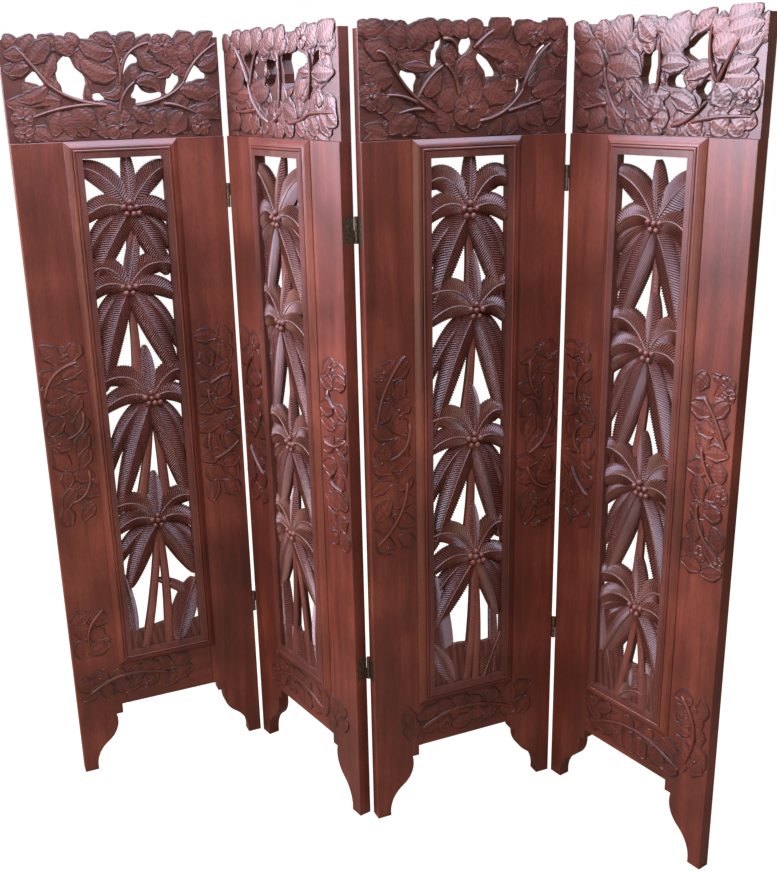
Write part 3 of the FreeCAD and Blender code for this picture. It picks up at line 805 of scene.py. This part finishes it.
# From the midrib to the edge: how fast the midrib falls off, how far the veins sweep back, and
# between which shares of the way the veins and the rim lie
midrib_falloff = 2.4
vein_sweep = 0.8
vein_shares = (0.2, 0.6)
rim_shares = (0.7, 0.8)
# How proud a stem's middle is, as a share of its half width
stem_roundness = 1.1
petals = 5
petal_blunt = 1.3
petal_lap = 0.4 * mm
# How far a petal's middle domes up, and how far its rim stands up
petal_swell = (1.0 * mm, 0.6 * mm)
# Shares of a blossom's radius
petal_start_share = 0.1
petal_half_share = 0.54
bead_share = 0.16
bead_rise = 1.2 * mm


def leaf_bend(start, tip, bow):
    """The point that a leaf's midrib heads for, and the way to the leaf's left."""
    side = Vector((start.z - tip.z, 0, tip.x - start.x)).normalized()
    return (start + tip) / 2 + side * bow * 2, side


def carve_leaf(board, start, tip, half, bow, front, dome, rim, blunt=leaf_blunt):
    """Adds a lobed leaf from its stalk to its tip, bowed to one side, domed or with a raised rim."""
    control = leaf_bend(start, tip, bow)[0]
    length = (tip - start).length
    veins = max(2, length / vein_pitch)
    lobes = int(length / lobe_pitch)

    def rule(along, across):
        centre, outward = curve_point(start, control, tip, along)
        side = abs(across)
        belly = math.sin(math.pi * along ** blunt) if along < 1 else 0
        width = half * max(leaf_tip_share, belly) ** leaf_roundness
        width *= 1 + lobe_share * math.cos(2 * math.pi * lobes * along)
        place = centre + outward * width * math.copysign(side ** leaf_crowding, across)
        swell = math.sin(math.pi * min(1, along + dome_shift))
        rise = front + dome * (1 - across * across) * max(0, swell)
        rise += midrib_rise * (1 - min(1, side * midrib_falloff)) * (1 - along)
        rise += rim * (rim_shares[0] < side < rim_shares[1])
        vein = math.sin(2 * math.pi * (along * veins - side * vein_sweep))
        rise -= vein_depth * (1 + vein) * (vein_shares[0] < side < vein_shares[1])
        place.y = -rise
        # Painted shade: dark at the leaf's edge, where it drops to the ground, and in its veins
        return place, min(1, 0.05 + 0.95 * side ** 6 + 0.15 * (vein > 0.4))

    carved_patch(board, leaf_along, leaf_across, rule)


def carve_stem(board, start, control, end, half, front, taper):
    """Adds a stem that narrows from start to end."""
    steps = max(6, round((end - start).length / stem_pitch))

    def rule(along, across):
        centre, outward = curve_point(start, control, end, along)
        width = half * (1 - taper * along)
        place = centre + outward * width * math.sin(across * math.pi / 2)
        sunk = stem_sink * (abs(2 * along - 1) ** 12)
        place.y = -(front + stem_roundness * width * math.cos(across * math.pi / 2) - sunk)
        # Painted shade down the stem's round sides
        return place, 0.8 * abs(across) ** 3

    carved_patch(board, steps, stem_across, rule)


def carve_blossom(board, centre, radius, front, first_angle):
    """Adds broad petals round a bead."""
    for petal in range(petals):
        angle = first_angle + 2 * math.pi * petal / petals
        reach = Vector((math.cos(angle), 0, math.sin(angle))) * radius
        carve_leaf(board, centre + reach * petal_start_share, centre + reach, radius * petal_half_share, 0,
                   front + petal_lap * (petal % 2), *petal_swell, petal_blunt)
    bead = centre.copy()
    bead.y = -(front + bead_rise)
    carve_ball(board, bead, radius * bead_share)


# %% [markdown]
# A crest rail is a thick board sawn to a scalloped top and pierced between the stems. Its ground is a
# flat curve with holes, which Blender fills and thickens, because a filled curve cuts any number of
# holes at once. Stems, leaves and blossoms stand on the ground up to the frame's own face, and a leaf
# that would cover a hole is drawn in until it doesn't. The tables give places in hundredths of the
# rail's width and height, read from the photograph of each panel.

# %% Crest tables
crest_bottom = 1600 * mm
crest_height = panel_height - crest_bottom
crest_hole_shares = {
    1: [[(30, 79), (33, 68), (37, 59), (35.5, 43), (35, 37), (30, 40), (26, 46), (24, 57), (24, 67),
         (26, 75)],
        [(57, 80), (61.5, 77), (62, 73), (59, 71), (56, 65), (53.5, 58), (53, 65), (54, 75)],
        [(39, 42), (40.5, 44), (44.5, 42), (44.5, 36), (40.5, 37)],
        [(60, 52), (63, 46), (66.5, 43), (72, 43.5), (72, 40), (66.5, 35), (61.5, 33), (59, 32),
         (59, 38), (57, 40), (58.5, 46)],
        [(75, 59), (80, 61), (81, 55), (79, 49), (76.5, 43.5), (74, 41), (74, 52)],
        [(88.5, 69), (91, 66), (94, 57), (90.5, 56), (86.5, 53), (82.5, 50.5), (84, 58), (86, 65)],
        [(14.5, 65), (16.5, 60), (18, 52), (14, 54), (10, 56.5), (12, 62)]],
    2: [[(20, 74), (29, 76), (26, 58), (23.5, 64)],
        [(40.5, 68.5), (48, 70), (51.5, 70), (52, 65), (49, 58), (46.5, 49), (39.5, 50), (43, 58)],
        [(55, 75), (71, 75.5), (75.5, 71), (76, 66), (71, 63), (66.5, 58), (65.5, 51), (61.5, 46),
         (57, 46), (56, 58)],
        [(82, 74), (85.5, 76), (85.5, 72), (82.5, 64), (80, 61), (80, 67)],
        [(18, 50), (21, 54), (23, 47), (20, 47)]],
    3: [[(19, 58), (24, 56.5), (28, 54), (27, 46), (26, 36), (23, 40), (20, 46)],
        [(39, 86), (39.5, 80), (37.5, 73), (37.5, 64), (33.5, 61), (33, 70), (34.5, 80)],
        [(51, 87), (54, 83), (53, 76), (50, 71), (47.5, 70), (46, 78)],
        [(56, 72), (60.5, 68.5), (64, 61), (65.5, 53), (62, 52), (60, 48), (58.5, 56.5), (56, 63),
         (54.5, 68.5)],
        [(75.5, 52), (77, 51), (78, 43.5), (75.5, 33), (72, 23), (70, 22), (72, 29), (74, 39)],
        [(86, 76.5), (90.5, 79), (91, 76), (87.5, 68.5), (84.5, 56.5), (81, 50.5), (82.5, 63)]],
    4: [[(40.5, 68.5), (47.5, 70), (48, 58), (47.5, 42), (45, 43.5), (41.5, 40), (39, 44.5), (40, 58)],
        [(65.5, 79), (71, 83), (72.5, 79), (72.5, 61), (65.5, 61), (62.5, 64), (59.5, 69.5),
         (61.5, 72)],
        [(54, 49), (62, 48), (62.5, 37), (59.5, 39), (56, 40), (53.5, 42)],
        [(68, 38), (74.5, 45.5), (75.5, 42), (73.5, 29), (71, 23), (71, 30.5)],
        [(81, 60), (84, 61), (82.5, 51), (79.5, 44.5), (78, 47), (79, 54)],
        [(25, 49), (27, 46), (25.5, 44)]],
}

# Stems: start, heading point and end (across, up for each)
crest_stem_shares = {
    1: [(45, 33, 25, 37, 17, 60), (20, 52, 14, 70, 7, 87), (44, 34, 26, 35, 11, 23),
        (51, 23, 51, 43, 59, 54), (52, 51, 54, 72, 50, 90), (59, 32, 78, 37, 84, 58),
        (82, 52, 87, 76, 99, 89), (72, 33, 79, 33, 88, 22), (53, 59, 54, 85, 67, 90)],
    2: [(41, 14.5, 25, 29, 24, 53), (24.5, 49, 20, 71, 11.5, 86), (26, 47, 29, 71, 34, 81.5),
        (30, 26, 20, 23, 9, 24), (51, 27, 54, 47, 52, 79), (58, 14, 71, 16, 77, 24),
        (75, 23, 86, 25, 97, 24), (76, 36, 81, 58, 76, 79)],
    3: [(35, 23, 22, 35, 14.5, 65), (15, 62, 12, 76, 7, 74), (27, 30, 20, 39, 12.5, 38),
        (30, 25, 25, 28, 17, 22), (26, 33, 30, 52, 38.5, 62), (46, 34, 45, 56, 39, 64),
        (38.5, 84, 44, 85, 45.5, 74), (56, 14, 70, 17, 78, 43), (77, 41, 82, 70, 91, 80),
        (70, 22, 78, 26, 87.5, 31), (53, 76, 57, 85, 63.5, 92)],
    4: [(32, 13, 21, 25, 19, 60), (19, 57, 18, 71, 13, 80), (21, 27, 14.5, 25, 7, 22),
        (46, 22, 40, 29, 33, 42), (48, 36, 51, 58, 48, 79), (57, 9, 66, 10, 74, 29),
        (67, 12, 80, 18.5, 96, 17), (78, 44, 72, 66, 75, 90), (79, 44, 83, 60, 88, 78)],
}

# Leaves: stalk, tip (across, up for each), half width, and bow to the left of the way to the tip
crest_leaf_shares = {
    1: [(51, 62, 35, 78, 7, 3), (53, 55, 36, 37, 6, 4), (60, 53, 73, 42, 9, 3), (57, 58, 68, 70, 5, 3),
        (50, 82, 35, 93, 7, 2), (51, 89, 42, 98, 5, 0), (54, 83, 61, 98, 6, 1), (67, 88, 80, 65, 9, 3),
        (63, 83, 71, 65, 7, -2), (79, 88, 88, 98, 6, 0), (86, 71, 81, 91, 6, 0), (89, 77, 98, 99, 6, 2),
        (90, 68, 99, 80, 6, -2), (84, 51, 98, 61, 6, -2), (80, 46, 93, 33, 8, 2),
        (87, 43, 99, 44, 6, 0), (87, 23, 99, 17, 6, 2), (81, 24, 74, 4, 8, 0), (72, 26, 67, 6, 7, 0),
        (77, 22, 82, 4, 6, 0), (57, 30, 66, 15, 6, 0), (50, 27, 40, 18, 7, -3), (31, 33, 35, 4, 7, 0),
        (32, 30, 40, 11, 6, 0), (24, 28, 20, 6, 7, 0), (26, 28, 29, 4, 6, 0), (19, 51, 5, 41, 5, 2),
        (24, 38, 8, 33, 5, -2), (12, 70, 3, 63, 5, 0), (11, 80, 2, 80, 5, 0), (7, 86, 3, 98, 5, 0),
        (10, 81, 15, 98, 6, 0), (13, 73, 22, 94, 7, 0), (19, 58, 24, 80, 6, 0), (32, 80, 25, 96, 6, 0),
        (34, 87, 30, 99, 5, 0)],
    2: [(26, 57, 41, 70, 8, 2), (27, 48, 43, 58, 7, -2), (30, 38, 43, 43, 6, 0), (52, 66, 49, 46, 5, 0),
        (53, 40, 74, 43, 8, 3), (54, 31, 66, 18, 8, 0), (66, 36, 76, 51, 6, 2), (78, 58, 66, 60, 6, 0),
        (80, 58, 97, 58, 10, 0), (5, 81, 2, 97, 6, 0), (12, 84, 18, 99, 7, 0), (20, 79, 27, 98, 8, 0),
        (29, 81, 37, 99, 8, 0), (37, 75, 43, 90, 6, 0), (41, 81, 48, 98, 7, 0), (49, 79, 57, 100, 7, 0),
        (53, 75, 61, 92, 7, 0), (61, 77, 72, 95, 8, 0), (72, 84, 76, 100, 6, 0), (76, 81, 85, 98, 7, 0),
        (85, 84, 98, 99, 8, 0), (88, 79, 98, 84, 6, 0), (14, 75, 3, 71, 5, 0), (19, 60, 2, 51, 8, 2),
        (24, 40, 5, 42, 7, 0), (10, 25, 3, 36, 5, 0), (14, 22, 5, 8, 7, 0), (25, 23, 18, 5, 7, 0),
        (30, 21, 26, 3, 6, 0), (57, 14, 62, 3, 6, 0), (78, 19, 82, 5, 8, 0), (85, 23, 93, 5, 7, 0),
        (90, 25, 98, 14, 7, 0), (90, 27, 97, 36, 7, 0), (85, 29, 83, 42, 6, 0), (66, 16, 72, 4, 6, 0)],
    3: [(37, 26, 45, 43, 9, 0), (48, 46, 58, 37, 9, 0), (58, 42, 69, 30, 9, 1), (32, 60, 20, 62, 5, 0),
        (30, 37, 37, 56, 7, 0), (44, 65, 38, 87, 8, 2), (57, 76, 77, 60, 8, 3), (67, 62, 80, 50, 8, 0),
        (66, 48, 76, 43, 8, 0), (63, 82, 74, 70, 9, 0), (3, 87, 2, 100, 7, 0), (8, 85, 5, 100, 8, 0),
        (10, 80, 13, 100, 6, 0), (17, 76, 20, 99, 9, 0), (23, 76, 29, 98, 8, 0),
        (29, 83, 35, 100, 8, 0), (38, 87, 42, 99, 7, 0), (45, 85, 48, 99, 7, 0), (51, 87, 57, 98, 7, 0),
        (61, 89, 71, 99, 8, 0), (74, 82, 82, 98, 8, 0), (90, 87, 98, 99, 8, 0), (93, 80, 99, 70, 6, 0),
        (14, 72, 3, 80, 7, 0), (12, 65, 3, 59, 7, 0), (15, 54, 5, 50, 7, 0), (13, 37, 8, 24, 6, 0),
        (20, 22, 9, 26, 6, 0), (22, 22, 13, 6, 7, 0), (25, 20, 19, 4, 6, 0), (84, 43, 93, 59, 8, 0),
        (85, 65, 98, 65, 7, 0), (82, 37, 98, 46, 7, 0), (87, 30, 98, 35, 6, 0), (87, 28, 96, 17, 7, 0),
        (80, 24, 87, 9, 7, 0), (76, 22, 82, 4, 6, 0)],
    4: [(51, 66, 63, 99, 10, 0), (50, 66, 35, 79, 8, 0), (20, 71, 33, 99, 10, 0),
        (21, 58, 39, 50, 10, 3), (50, 57, 64, 58, 6, 1), (77, 56, 62, 46, 6, -1),
        (40, 31, 55, 35, 6, 0), (56, 33, 70, 19, 6, 1), (3, 79, 6, 98, 10, 0), (47, 84, 51, 96, 6, 0),
        (66, 84, 76, 100, 9, 0), (75, 81, 82, 92, 7, 0), (82, 90, 97, 99, 9, 0), (82, 81, 98, 88, 8, 0),
        (76, 66, 88, 81, 9, 0), (86, 71, 98, 78, 8, 0), (82, 47, 97, 47, 9, 0), (83, 51, 96, 60, 6, 0),
        (79, 42, 84, 25, 9, 0), (17, 71, 2, 78, 8, 0), (18, 60, 2, 66, 9, 0), (18, 51, 3, 40, 8, 0),
        (23, 36, 30, 45, 6, 0), (20, 29, 9, 36, 5, 0), (9, 21, 3, 8, 8, 0), (19, 23, 11, 5, 7, 0),
        (24, 21, 30, 5, 8, 0), (66, 12, 72, 3, 6, 0), (78, 14, 85, 5, 8, 0), (87, 14, 92, 3, 7, 0),
        (90, 16, 98, 12, 6, 0), (46, 80, 37, 97, 8, 0), (18, 79, 17, 98, 8, 0), (33, 70, 28, 88, 7, 0)],
}

# Blossoms: centre across and up, and radius in parts of the rail's width
blossom_parts = 85
crest_blossom_shares = {
    1: [(51, 13, 6.5), (73, 88, 4.6), (7, 23, 4.2), (7, 9, 3.8), (89, 12, 4.4)],
    2: [(48.5, 17.5, 8), (72, 88, 4)],
    3: [(51.5, 25, 7.5), (5, 37, 4.8), (83, 88, 4.4)],
    4: [(46, 15, 8.0), (93, 29, 4.7)],
}
crest_top_shares = [(0, 93), (9, 95), (18, 93), (28, 95), (38, 94), (50, 95), (62, 94), (72, 95), (84, 94),
                    (100, 95)]

# %% Crest rails
ground_depth = 5 * mm
crest_lip = 12 * mm
edge_round = 0.8 * mm
crest_limits = (0.5 * mm, panel_width - 0.5 * mm, crest_bottom + 2 * mm, panel_height + 4 * mm)
crest_depth = 7 * mm
# A stem's half width at its root, how proud it is, and how much it narrows
crest_stem = (4.7 * mm, -1.6 * mm, 0.4)
# How far a leaf's middle domes up, and how far its rim stands up
crest_leaf_swell = (1.5 * mm, 0.4 * mm)
filler_swell = (1.2 * mm, 0.6 * mm)
# The leaves lie in three layers
crest_leaf_front = -2.8 * mm
crest_leaf_layer = 0.6 * mm
crest_blossom_front = -1.4 * mm
# Drawn by chance, in millimetres: how proud a filler is, and how far it bows to either side
filler_fronts = (-4.6, -3.6)
filler_bow = 4
filler_turn = 0.9
filler_pitch = 28 * mm
filler_length = 50 * mm
filler_half = 20 * mm
filler_margin = 4 * mm
vine_root = Vector((panel_width / 2, 0, crest_bottom - 60 * mm))
main_leaf_share = 0.74
# Shares of a leaf's width and length to which it is drawn in, step by step, until it covers no hole
leaf_trims = [(1, 1), (0.85, 1), (0.7, 1), (0.6, 1), (0.5, 1), (0.7, 0.8), (0.55, 0.8), (0.6, 0.6),
              (0.4, 0.6)]
# The points at which a leaf is tried against the holes, along it and across it
probe_shares = (0.12, 0.28, 0.44, 0.58, 0.72, 0.88)
probe_reaches = (-0.85, -0.4, 0, 0.4, 0.85)


def crest_place(across, up):
    """A place on a crest rail, from hundredths of its width and height."""
    return Vector((across / 100 * panel_width, 0, crest_bottom + up / 100 * crest_height))


def crest_ground(holes):
    """The pierced and scalloped board behind the carving, as a bmesh."""
    curve = bpy.data.curves.new("crest ground", "CURVE")
    curve.dimensions = "2D"
    curve.fill_mode = "BOTH"
    curve.extrude = (frame_thickness - ground_depth) / 2 - edge_round
    curve.bevel_depth = edge_round
    curve.bevel_resolution = 1
    curve.offset = -edge_round
    low = crest_bottom - crest_lip
    outer = [crest_place(*row) for row in crest_top_shares]
    rail_end = panel_width - stile_width
    outer += [Vector((across, 0, up)) for across, up in (
        (panel_width, crest_bottom), (rail_end, crest_bottom), (rail_end, low), (stile_width, low),
        (stile_width, crest_bottom), (0, crest_bottom))]
    spline = curve.splines.new("POLY")
    spline.points.add(len(outer) - 1)
    for point, place in zip(spline.points, outer):
        point.co = (place.x, place.z, 0, 1)
    spline.use_cyclic_u = True
    for hole in holes:
        spline = curve.splines.new("BEZIER")
        spline.bezier_points.add(len(hole) - 1)
        spline.resolution_u = 3
        for point, place in zip(spline.bezier_points, hole):
            point.co = (place.x, place.z, 0)
            point.handle_left_type = point.handle_right_type = "AUTO"
        spline.use_cyclic_u = True
    holder = new_object("crest ground", curve)
    mesh = bpy.data.meshes.new_from_object(holder.evaluated_get(bpy.context.evaluated_depsgraph_get()))
    bpy.data.objects.remove(holder)
    ground = bmesh.new()
    stain_and_painted_shade = ground.verts.layers.float.new("stain_and_painted_shade")
    ground.from_mesh(mesh)
    bpy.data.meshes.remove(mesh)
    bmesh.ops.remove_doubles(ground, verts=ground.verts, dist=0.02 * mm)
    for vert in ground.verts:
        front_share = (vert.co.z + frame_thickness / 2) / frame_thickness
        vert.co = Vector((vert.co.x, (frame_thickness + ground_depth) / 2 - vert.co.z, vert.co.y))
        # A little painted shade on the sunk ground's face, less on its back
        vert[stain_and_painted_shade] = 0.25 if front_share > 0.5 else 0.1
    return ground


def inside(place, corners):
    """Whether a place lies inside an outline, which a line from it to the right then crosses an odd
    number of times."""
    crossings = 0
    for one, two in zip(corners, corners[1:] + corners[:1]):
        if (one.z > place.z) != (two.z > place.z):
            crossings += place.x < one.x + (two.x - one.x) * (place.z - one.z) / (two.z - one.z)
    return crossings % 2 == 1


def covers(start, tip, half, bow, holes):
    """Whether a leaf would lie over any hole."""
    control, side = leaf_bend(start, tip, bow)
    for share in probe_shares:
        centre = curve_point(start, control, tip, share)[0]
        width = half * math.sin(math.pi * share ** leaf_blunt) ** leaf_roundness
        for reach in probe_reaches:
            if any(inside(centre + side * width * reach, hole) for hole in holes):
                return True
    return False


def carve_clear_leaf(board, holes, start, tip, half, bow, front, dome, rim):
    """Adds a crest leaf, drawn in until it covers no hole."""
    for width_share, length_share in leaf_trims:
        point = start + (tip - start) * length_share
        if not covers(start, point, half * width_share, bow, holes):
            carve_leaf(board, start, point, half * width_share, bow, front, dome, rim)
            return


def carve_fillers(board, number, holes):
    """Covers the ground with small low leaves that point away from the vine's root, not over a hole."""
    chance = random.Random(f"crest {number}")
    columns = round(panel_width / filler_pitch)
    rows = round(crest_height / filler_pitch)
    for column in range(columns):
        for row in range(rows):
            start = crest_place((column + chance.uniform(0.1, 0.9)) * 100 / columns,
                                (row + chance.uniform(0.0, 0.8)) * 100 / rows)
            turn = Matrix.Rotation(chance.uniform(-filler_turn, filler_turn), 3, "Y")
            heading = turn @ (start - vine_root).normalized()
            tip = start + heading * filler_length * chance.uniform(0.8, 1.15)
            if all(place.z < panel_height - filler_margin and 0 < place.x < panel_width
                   for place in (start, tip)):
                carve_clear_leaf(board, holes, start, tip, filler_half,
                                 chance.uniform(-filler_bow, filler_bow) * mm,
                                 chance.uniform(*filler_fronts) * mm, *filler_swell)


def crest_rail(number):
    """One panel's crest rail, with its ground, stems, leaves and blossoms."""
    board = (empty_board(), crest_depth, crest_limits)
    holes = [[crest_place(*row) for row in rows] for rows in crest_hole_shares[number]]
    join_patch(board[0], crest_ground(holes))
    carve_fillers(board, number, holes)
    for row in crest_stem_shares[number]:
        carve_stem(board, *row_places(row, crest_place), *crest_stem)
    for order, row in enumerate(crest_leaf_shares[number]):
        half, bow = [share / 100 * panel_width for share in row[4:]]
        carve_clear_leaf(board, holes, *row_places(row[:4], crest_place), half * main_leaf_share, bow,
                         crest_leaf_front + crest_leaf_layer * (order % 3), *crest_leaf_swell)
    for order, (across, up, radius) in enumerate(crest_blossom_shares[number]):
        carve_blossom(board, crest_place(across, up), radius / blossom_parts * panel_width,
                      crest_blossom_front, order)
    return finished(f"crest_{number}", board[0], number, carved_cross_wood[number],
                    [f"panel_{number}_crest_rail"])


for number in numbers:
    rail = crest_rail(number)
    print(rail.name, "faces:", len(rail.data.polygons))

# %% [markdown]
# Half way up, every stile carries a low spray of the same vine, and so do some lower stiles and bottom
# rails. Broad leaves with raised rims lie round bold stems, no prouder than a coin is thick. The tables
# give the stems and blossoms in millimetres across the panel and up from the floor, and chance lays
# the leaves.

# %% Vines on the stiles and rails
spray_pitch = 43 * mm
spray_depth = 1 * mm
# How far leaves may reach past the spray's box
spray_edge = 4 * mm
# Drawn by chance, in millimetres: a leaf's half width, its length, how proud it is and how far it bows
spray_leaf_half = (18, 26)
spray_leaf_length = (44, 62)
spray_leaf_fronts = (0.6, 1.9)
spray_leaf_bow = 6
spray_leaf_swell = (0.9 * mm, 0.9 * mm)
spray_stem = (4.8 * mm, 2.0 * mm, 0.35)
spray_blossom_front = 1 * mm
# Left, right, low and high of the sprays half way up, in millimetres
upper_boxes = {"left": (7, 106, 700, 1148), "right": (374, 473, 700, 1148)}
# Stems as start, heading point and end, then blossoms as centre and radius
upper_sprays = {
    (1, "left"): (
        [(90, 1100, 18, 1088, 8, 1012), (92, 978, 98, 926, 48, 915),
         (92, 830, 96, 764, 46, 752)],
        [(70, 1120, 24), (30, 905, 25)]),
    (1, "right"): (
        [(407, 1009, 434, 1028, 461, 1029), (401, 995, 396, 950, 427, 929),
         (396, 881, 385, 841, 404, 812), (404, 812, 440, 820, 470, 852)],
        [(447, 912, 22), (433, 1023, 30), (445, 1112, 20)]),
    (2, "left"): (
        [(66, 1085, 28, 1050, 25, 1000), (92, 945, 86, 895, 45, 870),
         (30, 845, 55, 800, 92, 780)],
        [(72, 1115, 22), (38, 905, 22), (68, 738, 24)]),
    (2, "right"): (
        [(404, 1069, 408, 1040, 438, 1030), (381, 949, 425, 930, 466, 962),
         (421, 881, 380, 850, 449, 841)],
        [(421, 1122, 24), (445, 1096, 18), (412, 735, 24)]),
    (3, "left"): (
        [(89, 1154, 24, 1085, 20, 995), (98, 998, 98, 930, 50, 921),
         (90, 862, 84, 776, 15, 721)],
        [(38, 1120, 22), (72, 1032, 26), (29, 915, 24), (75, 892, 18), (40, 712, 20)]),
    (3, "right"): (
        [(400, 1108, 390, 1040, 432, 1012), (458, 962, 444, 900, 402, 884),
         (398, 850, 412, 796, 457, 790)],
        [(426, 1137, 22), (457, 1112, 16), (424, 767, 20), (428, 704, 18)]),
    (4, "left"): (
        [(82, 1092, 36, 1062, 46, 1005), (72, 962, 26, 932, 60, 888),
         (40, 850, 70, 800, 92, 792)],
        [(63, 1126, 22), (75, 1018, 16), (58, 744, 22)]),
    (4, "right"): (
        [(401, 1097, 440, 1060, 463, 995), (404, 992, 412, 945, 440, 918),
         (404, 869, 400, 806, 463, 761)],
        [(438, 1149, 22), (459, 1112, 18), (459, 898, 20), (415, 758, 20), (466, 752, 16)]),
}
# The box of each spray comes before its stems and blossoms
lower_sprays = {
    (1, "lower left"): (
        (10, 100, 330, 462),
        [(88, 455, 26, 410, 52, 340)],
        [(34, 446, 18), (82, 372, 18)]),
    (1, "rail"): (
        (10, 300, 200, 287),
        [(36, 226, 120, 290, 250, 236)],
        [(62, 264, 20), (186, 226, 20)]),
    (2, "rail"): (
        (70, 440, 196, 287),
        [(92, 216, 200, 296, 330, 224)],
        [(150, 246, 22), (290, 232, 20)]),
    (3, "rail"): (
        (70, 420, 196, 287),
        [(122, 222, 230, 292, 370, 216)],
        [(180, 226, 20), (310, 258, 20)]),
    (4, "lower right"): (
        (384, 474, 225, 430),
        [(400, 410, 474, 350, 414, 240)],
        [(448, 268, 22), (408, 366, 16)]),
    (4, "rail"): (
        (120, 400, 196, 287),
        [(150, 222, 270, 296, 390, 226)],
        [(214, 230, 20), (330, 246, 20)]),
}


def face_place(across, up):
    """A place on a panel's face, from millimetres."""
    return Vector((across, 0, up)) * mm


def spray(number, name, box, stems, blossoms):
    """A spray of vine on a panel's front, in a box of left, right, low and high."""
    chance = random.Random(f"vine {number} {name}")
    left, right, low, high = [length * mm for length in box]
    margin = spray_pitch / 2
    limits = (left - spray_edge, right + spray_edge, low - spray_edge, high + spray_edge)
    board = (empty_board(), spray_depth, limits)
    columns = max(1, round((right - left) / spray_pitch))
    rows = max(1, round((high - low) / spray_pitch))
    for column in range(columns):
        for row in range(rows):
            across = left + (right - left) * (column + chance.uniform(0.3, 0.7)) / columns
            up = low + (high - low) * (row + chance.uniform(0.3, 0.7)) / rows
            centre = Vector((min(right - margin, max(left + margin, across)), 0,
                             min(high - margin, max(low + margin, up))))
            turn = chance.uniform(0, 2 * math.pi)
            heading = Vector((math.cos(turn), 0, math.sin(turn)))
            reach = heading * chance.uniform(*spray_leaf_length) / 2 * mm
            carve_leaf(board, centre - reach, centre + reach, chance.uniform(*spray_leaf_half) * mm,
                       chance.uniform(-spray_leaf_bow, spray_leaf_bow) * mm,
                       chance.uniform(*spray_leaf_fronts) * mm, *spray_leaf_swell)
    for row in stems:
        carve_stem(board, *row_places(row, face_place), *spray_stem)
    for across, up, radius in blossoms:
        carve_blossom(board, face_place(across, up), radius * mm, spray_blossom_front,
                      chance.uniform(0, math.pi))
    finished(f"vine_{number}_{name}".replace(" ", "_"), board[0], number, carved_wood)


for (number, side), (stems, blossoms) in upper_sprays.items():
    spray(number, side, upper_boxes[side], stems, blossoms)
for (number, name), (box, stems, blossoms) in lower_sprays.items():
    spray(number, name, box, stems, blossoms)
print("sprays of vine:", len(upper_sprays) + len(lower_sprays))

# %% [markdown]
# The room is a plain pale one: a floor, a window beside the left end of the screen, whose light glances
# off the panels that face it, a bright ceiling, and a faint warm light from the room in front.

# %% Floor, lamps and world
floor_half = 12
world_strength = 0.30
floor_shape = bmesh.new()
bmesh.ops.create_grid(floor_shape, x_segments=1, y_segments=1, size=floor_half)
floor = new_object("floor", mesh_of("floor", floor_shape))
material, tree = new_material("pale floor")
rays = add_node(tree, "LightPath")
shader = add_node(tree, "BsdfPrincipled", {
    "Base Color": linear("#7C6450"), "Roughness": 0.9, "Emission Color": linear("#FFFFFF"),
    "Emission Strength": rays.outputs["Is Camera Ray"]})
add_node(tree, "OutputMaterial", {"Surface": shader.outputs["BSDF"]})
floor.data.materials.append(material)

world = bpy.data.worlds.new("studio")
bpy.context.scene.world = world
world.use_nodes = True
tree = world.node_tree
tree.nodes.clear()
rays = add_node(tree, "LightPath")
seen = add_node(tree, "Math", {0: rays.outputs["Is Camera Ray"], 1: rays.outputs["Is Transmission Ray"]},
                operation="MAXIMUM")
strength = add_node(tree, "MapRange", {"Value": seen.outputs[0], 3: world_strength, 4: 1.0})
tint = colour_ramp(tree, seen.outputs[0], [(0.0, "#FFDFC6"), (1.0, "#FFFFFF")])
backdrop = add_node(tree, "Background", {"Color": tint, "Strength": strength.outputs[0]})
add_node(tree, "OutputWorld", {"Surface": backdrop.outputs["Background"]})


def lamp(name, place, target, size, power, colour):
    """A square soft light that faces a target."""
    data = bpy.data.lights.new(name, "AREA")
    data.size = size
    data.energy = power
    data.color = linear(colour)[:3]
    light = new_object(name, data)
    light.location = place
    light.rotation_euler = (Vector(target) - Vector(place)).to_track_quat("-Z", "Y").to_euler()


lamp("window", (-2.3, -0.85, 2.25), (0.1, 0, 2.5), 1.5, 180, "#E6DCF2")
lamp("ceiling", (0.1, -0.7, 2.9), (0.1, -0.7, 0), 2.6, 170, "#D6DCFF")
lamp("room", (-0.4, -3.6, 1.0), (0, 0, 0.8), 2.0, 34, "#FFDDC4")
bpy.context.scene.view_settings.view_transform = "Standard"
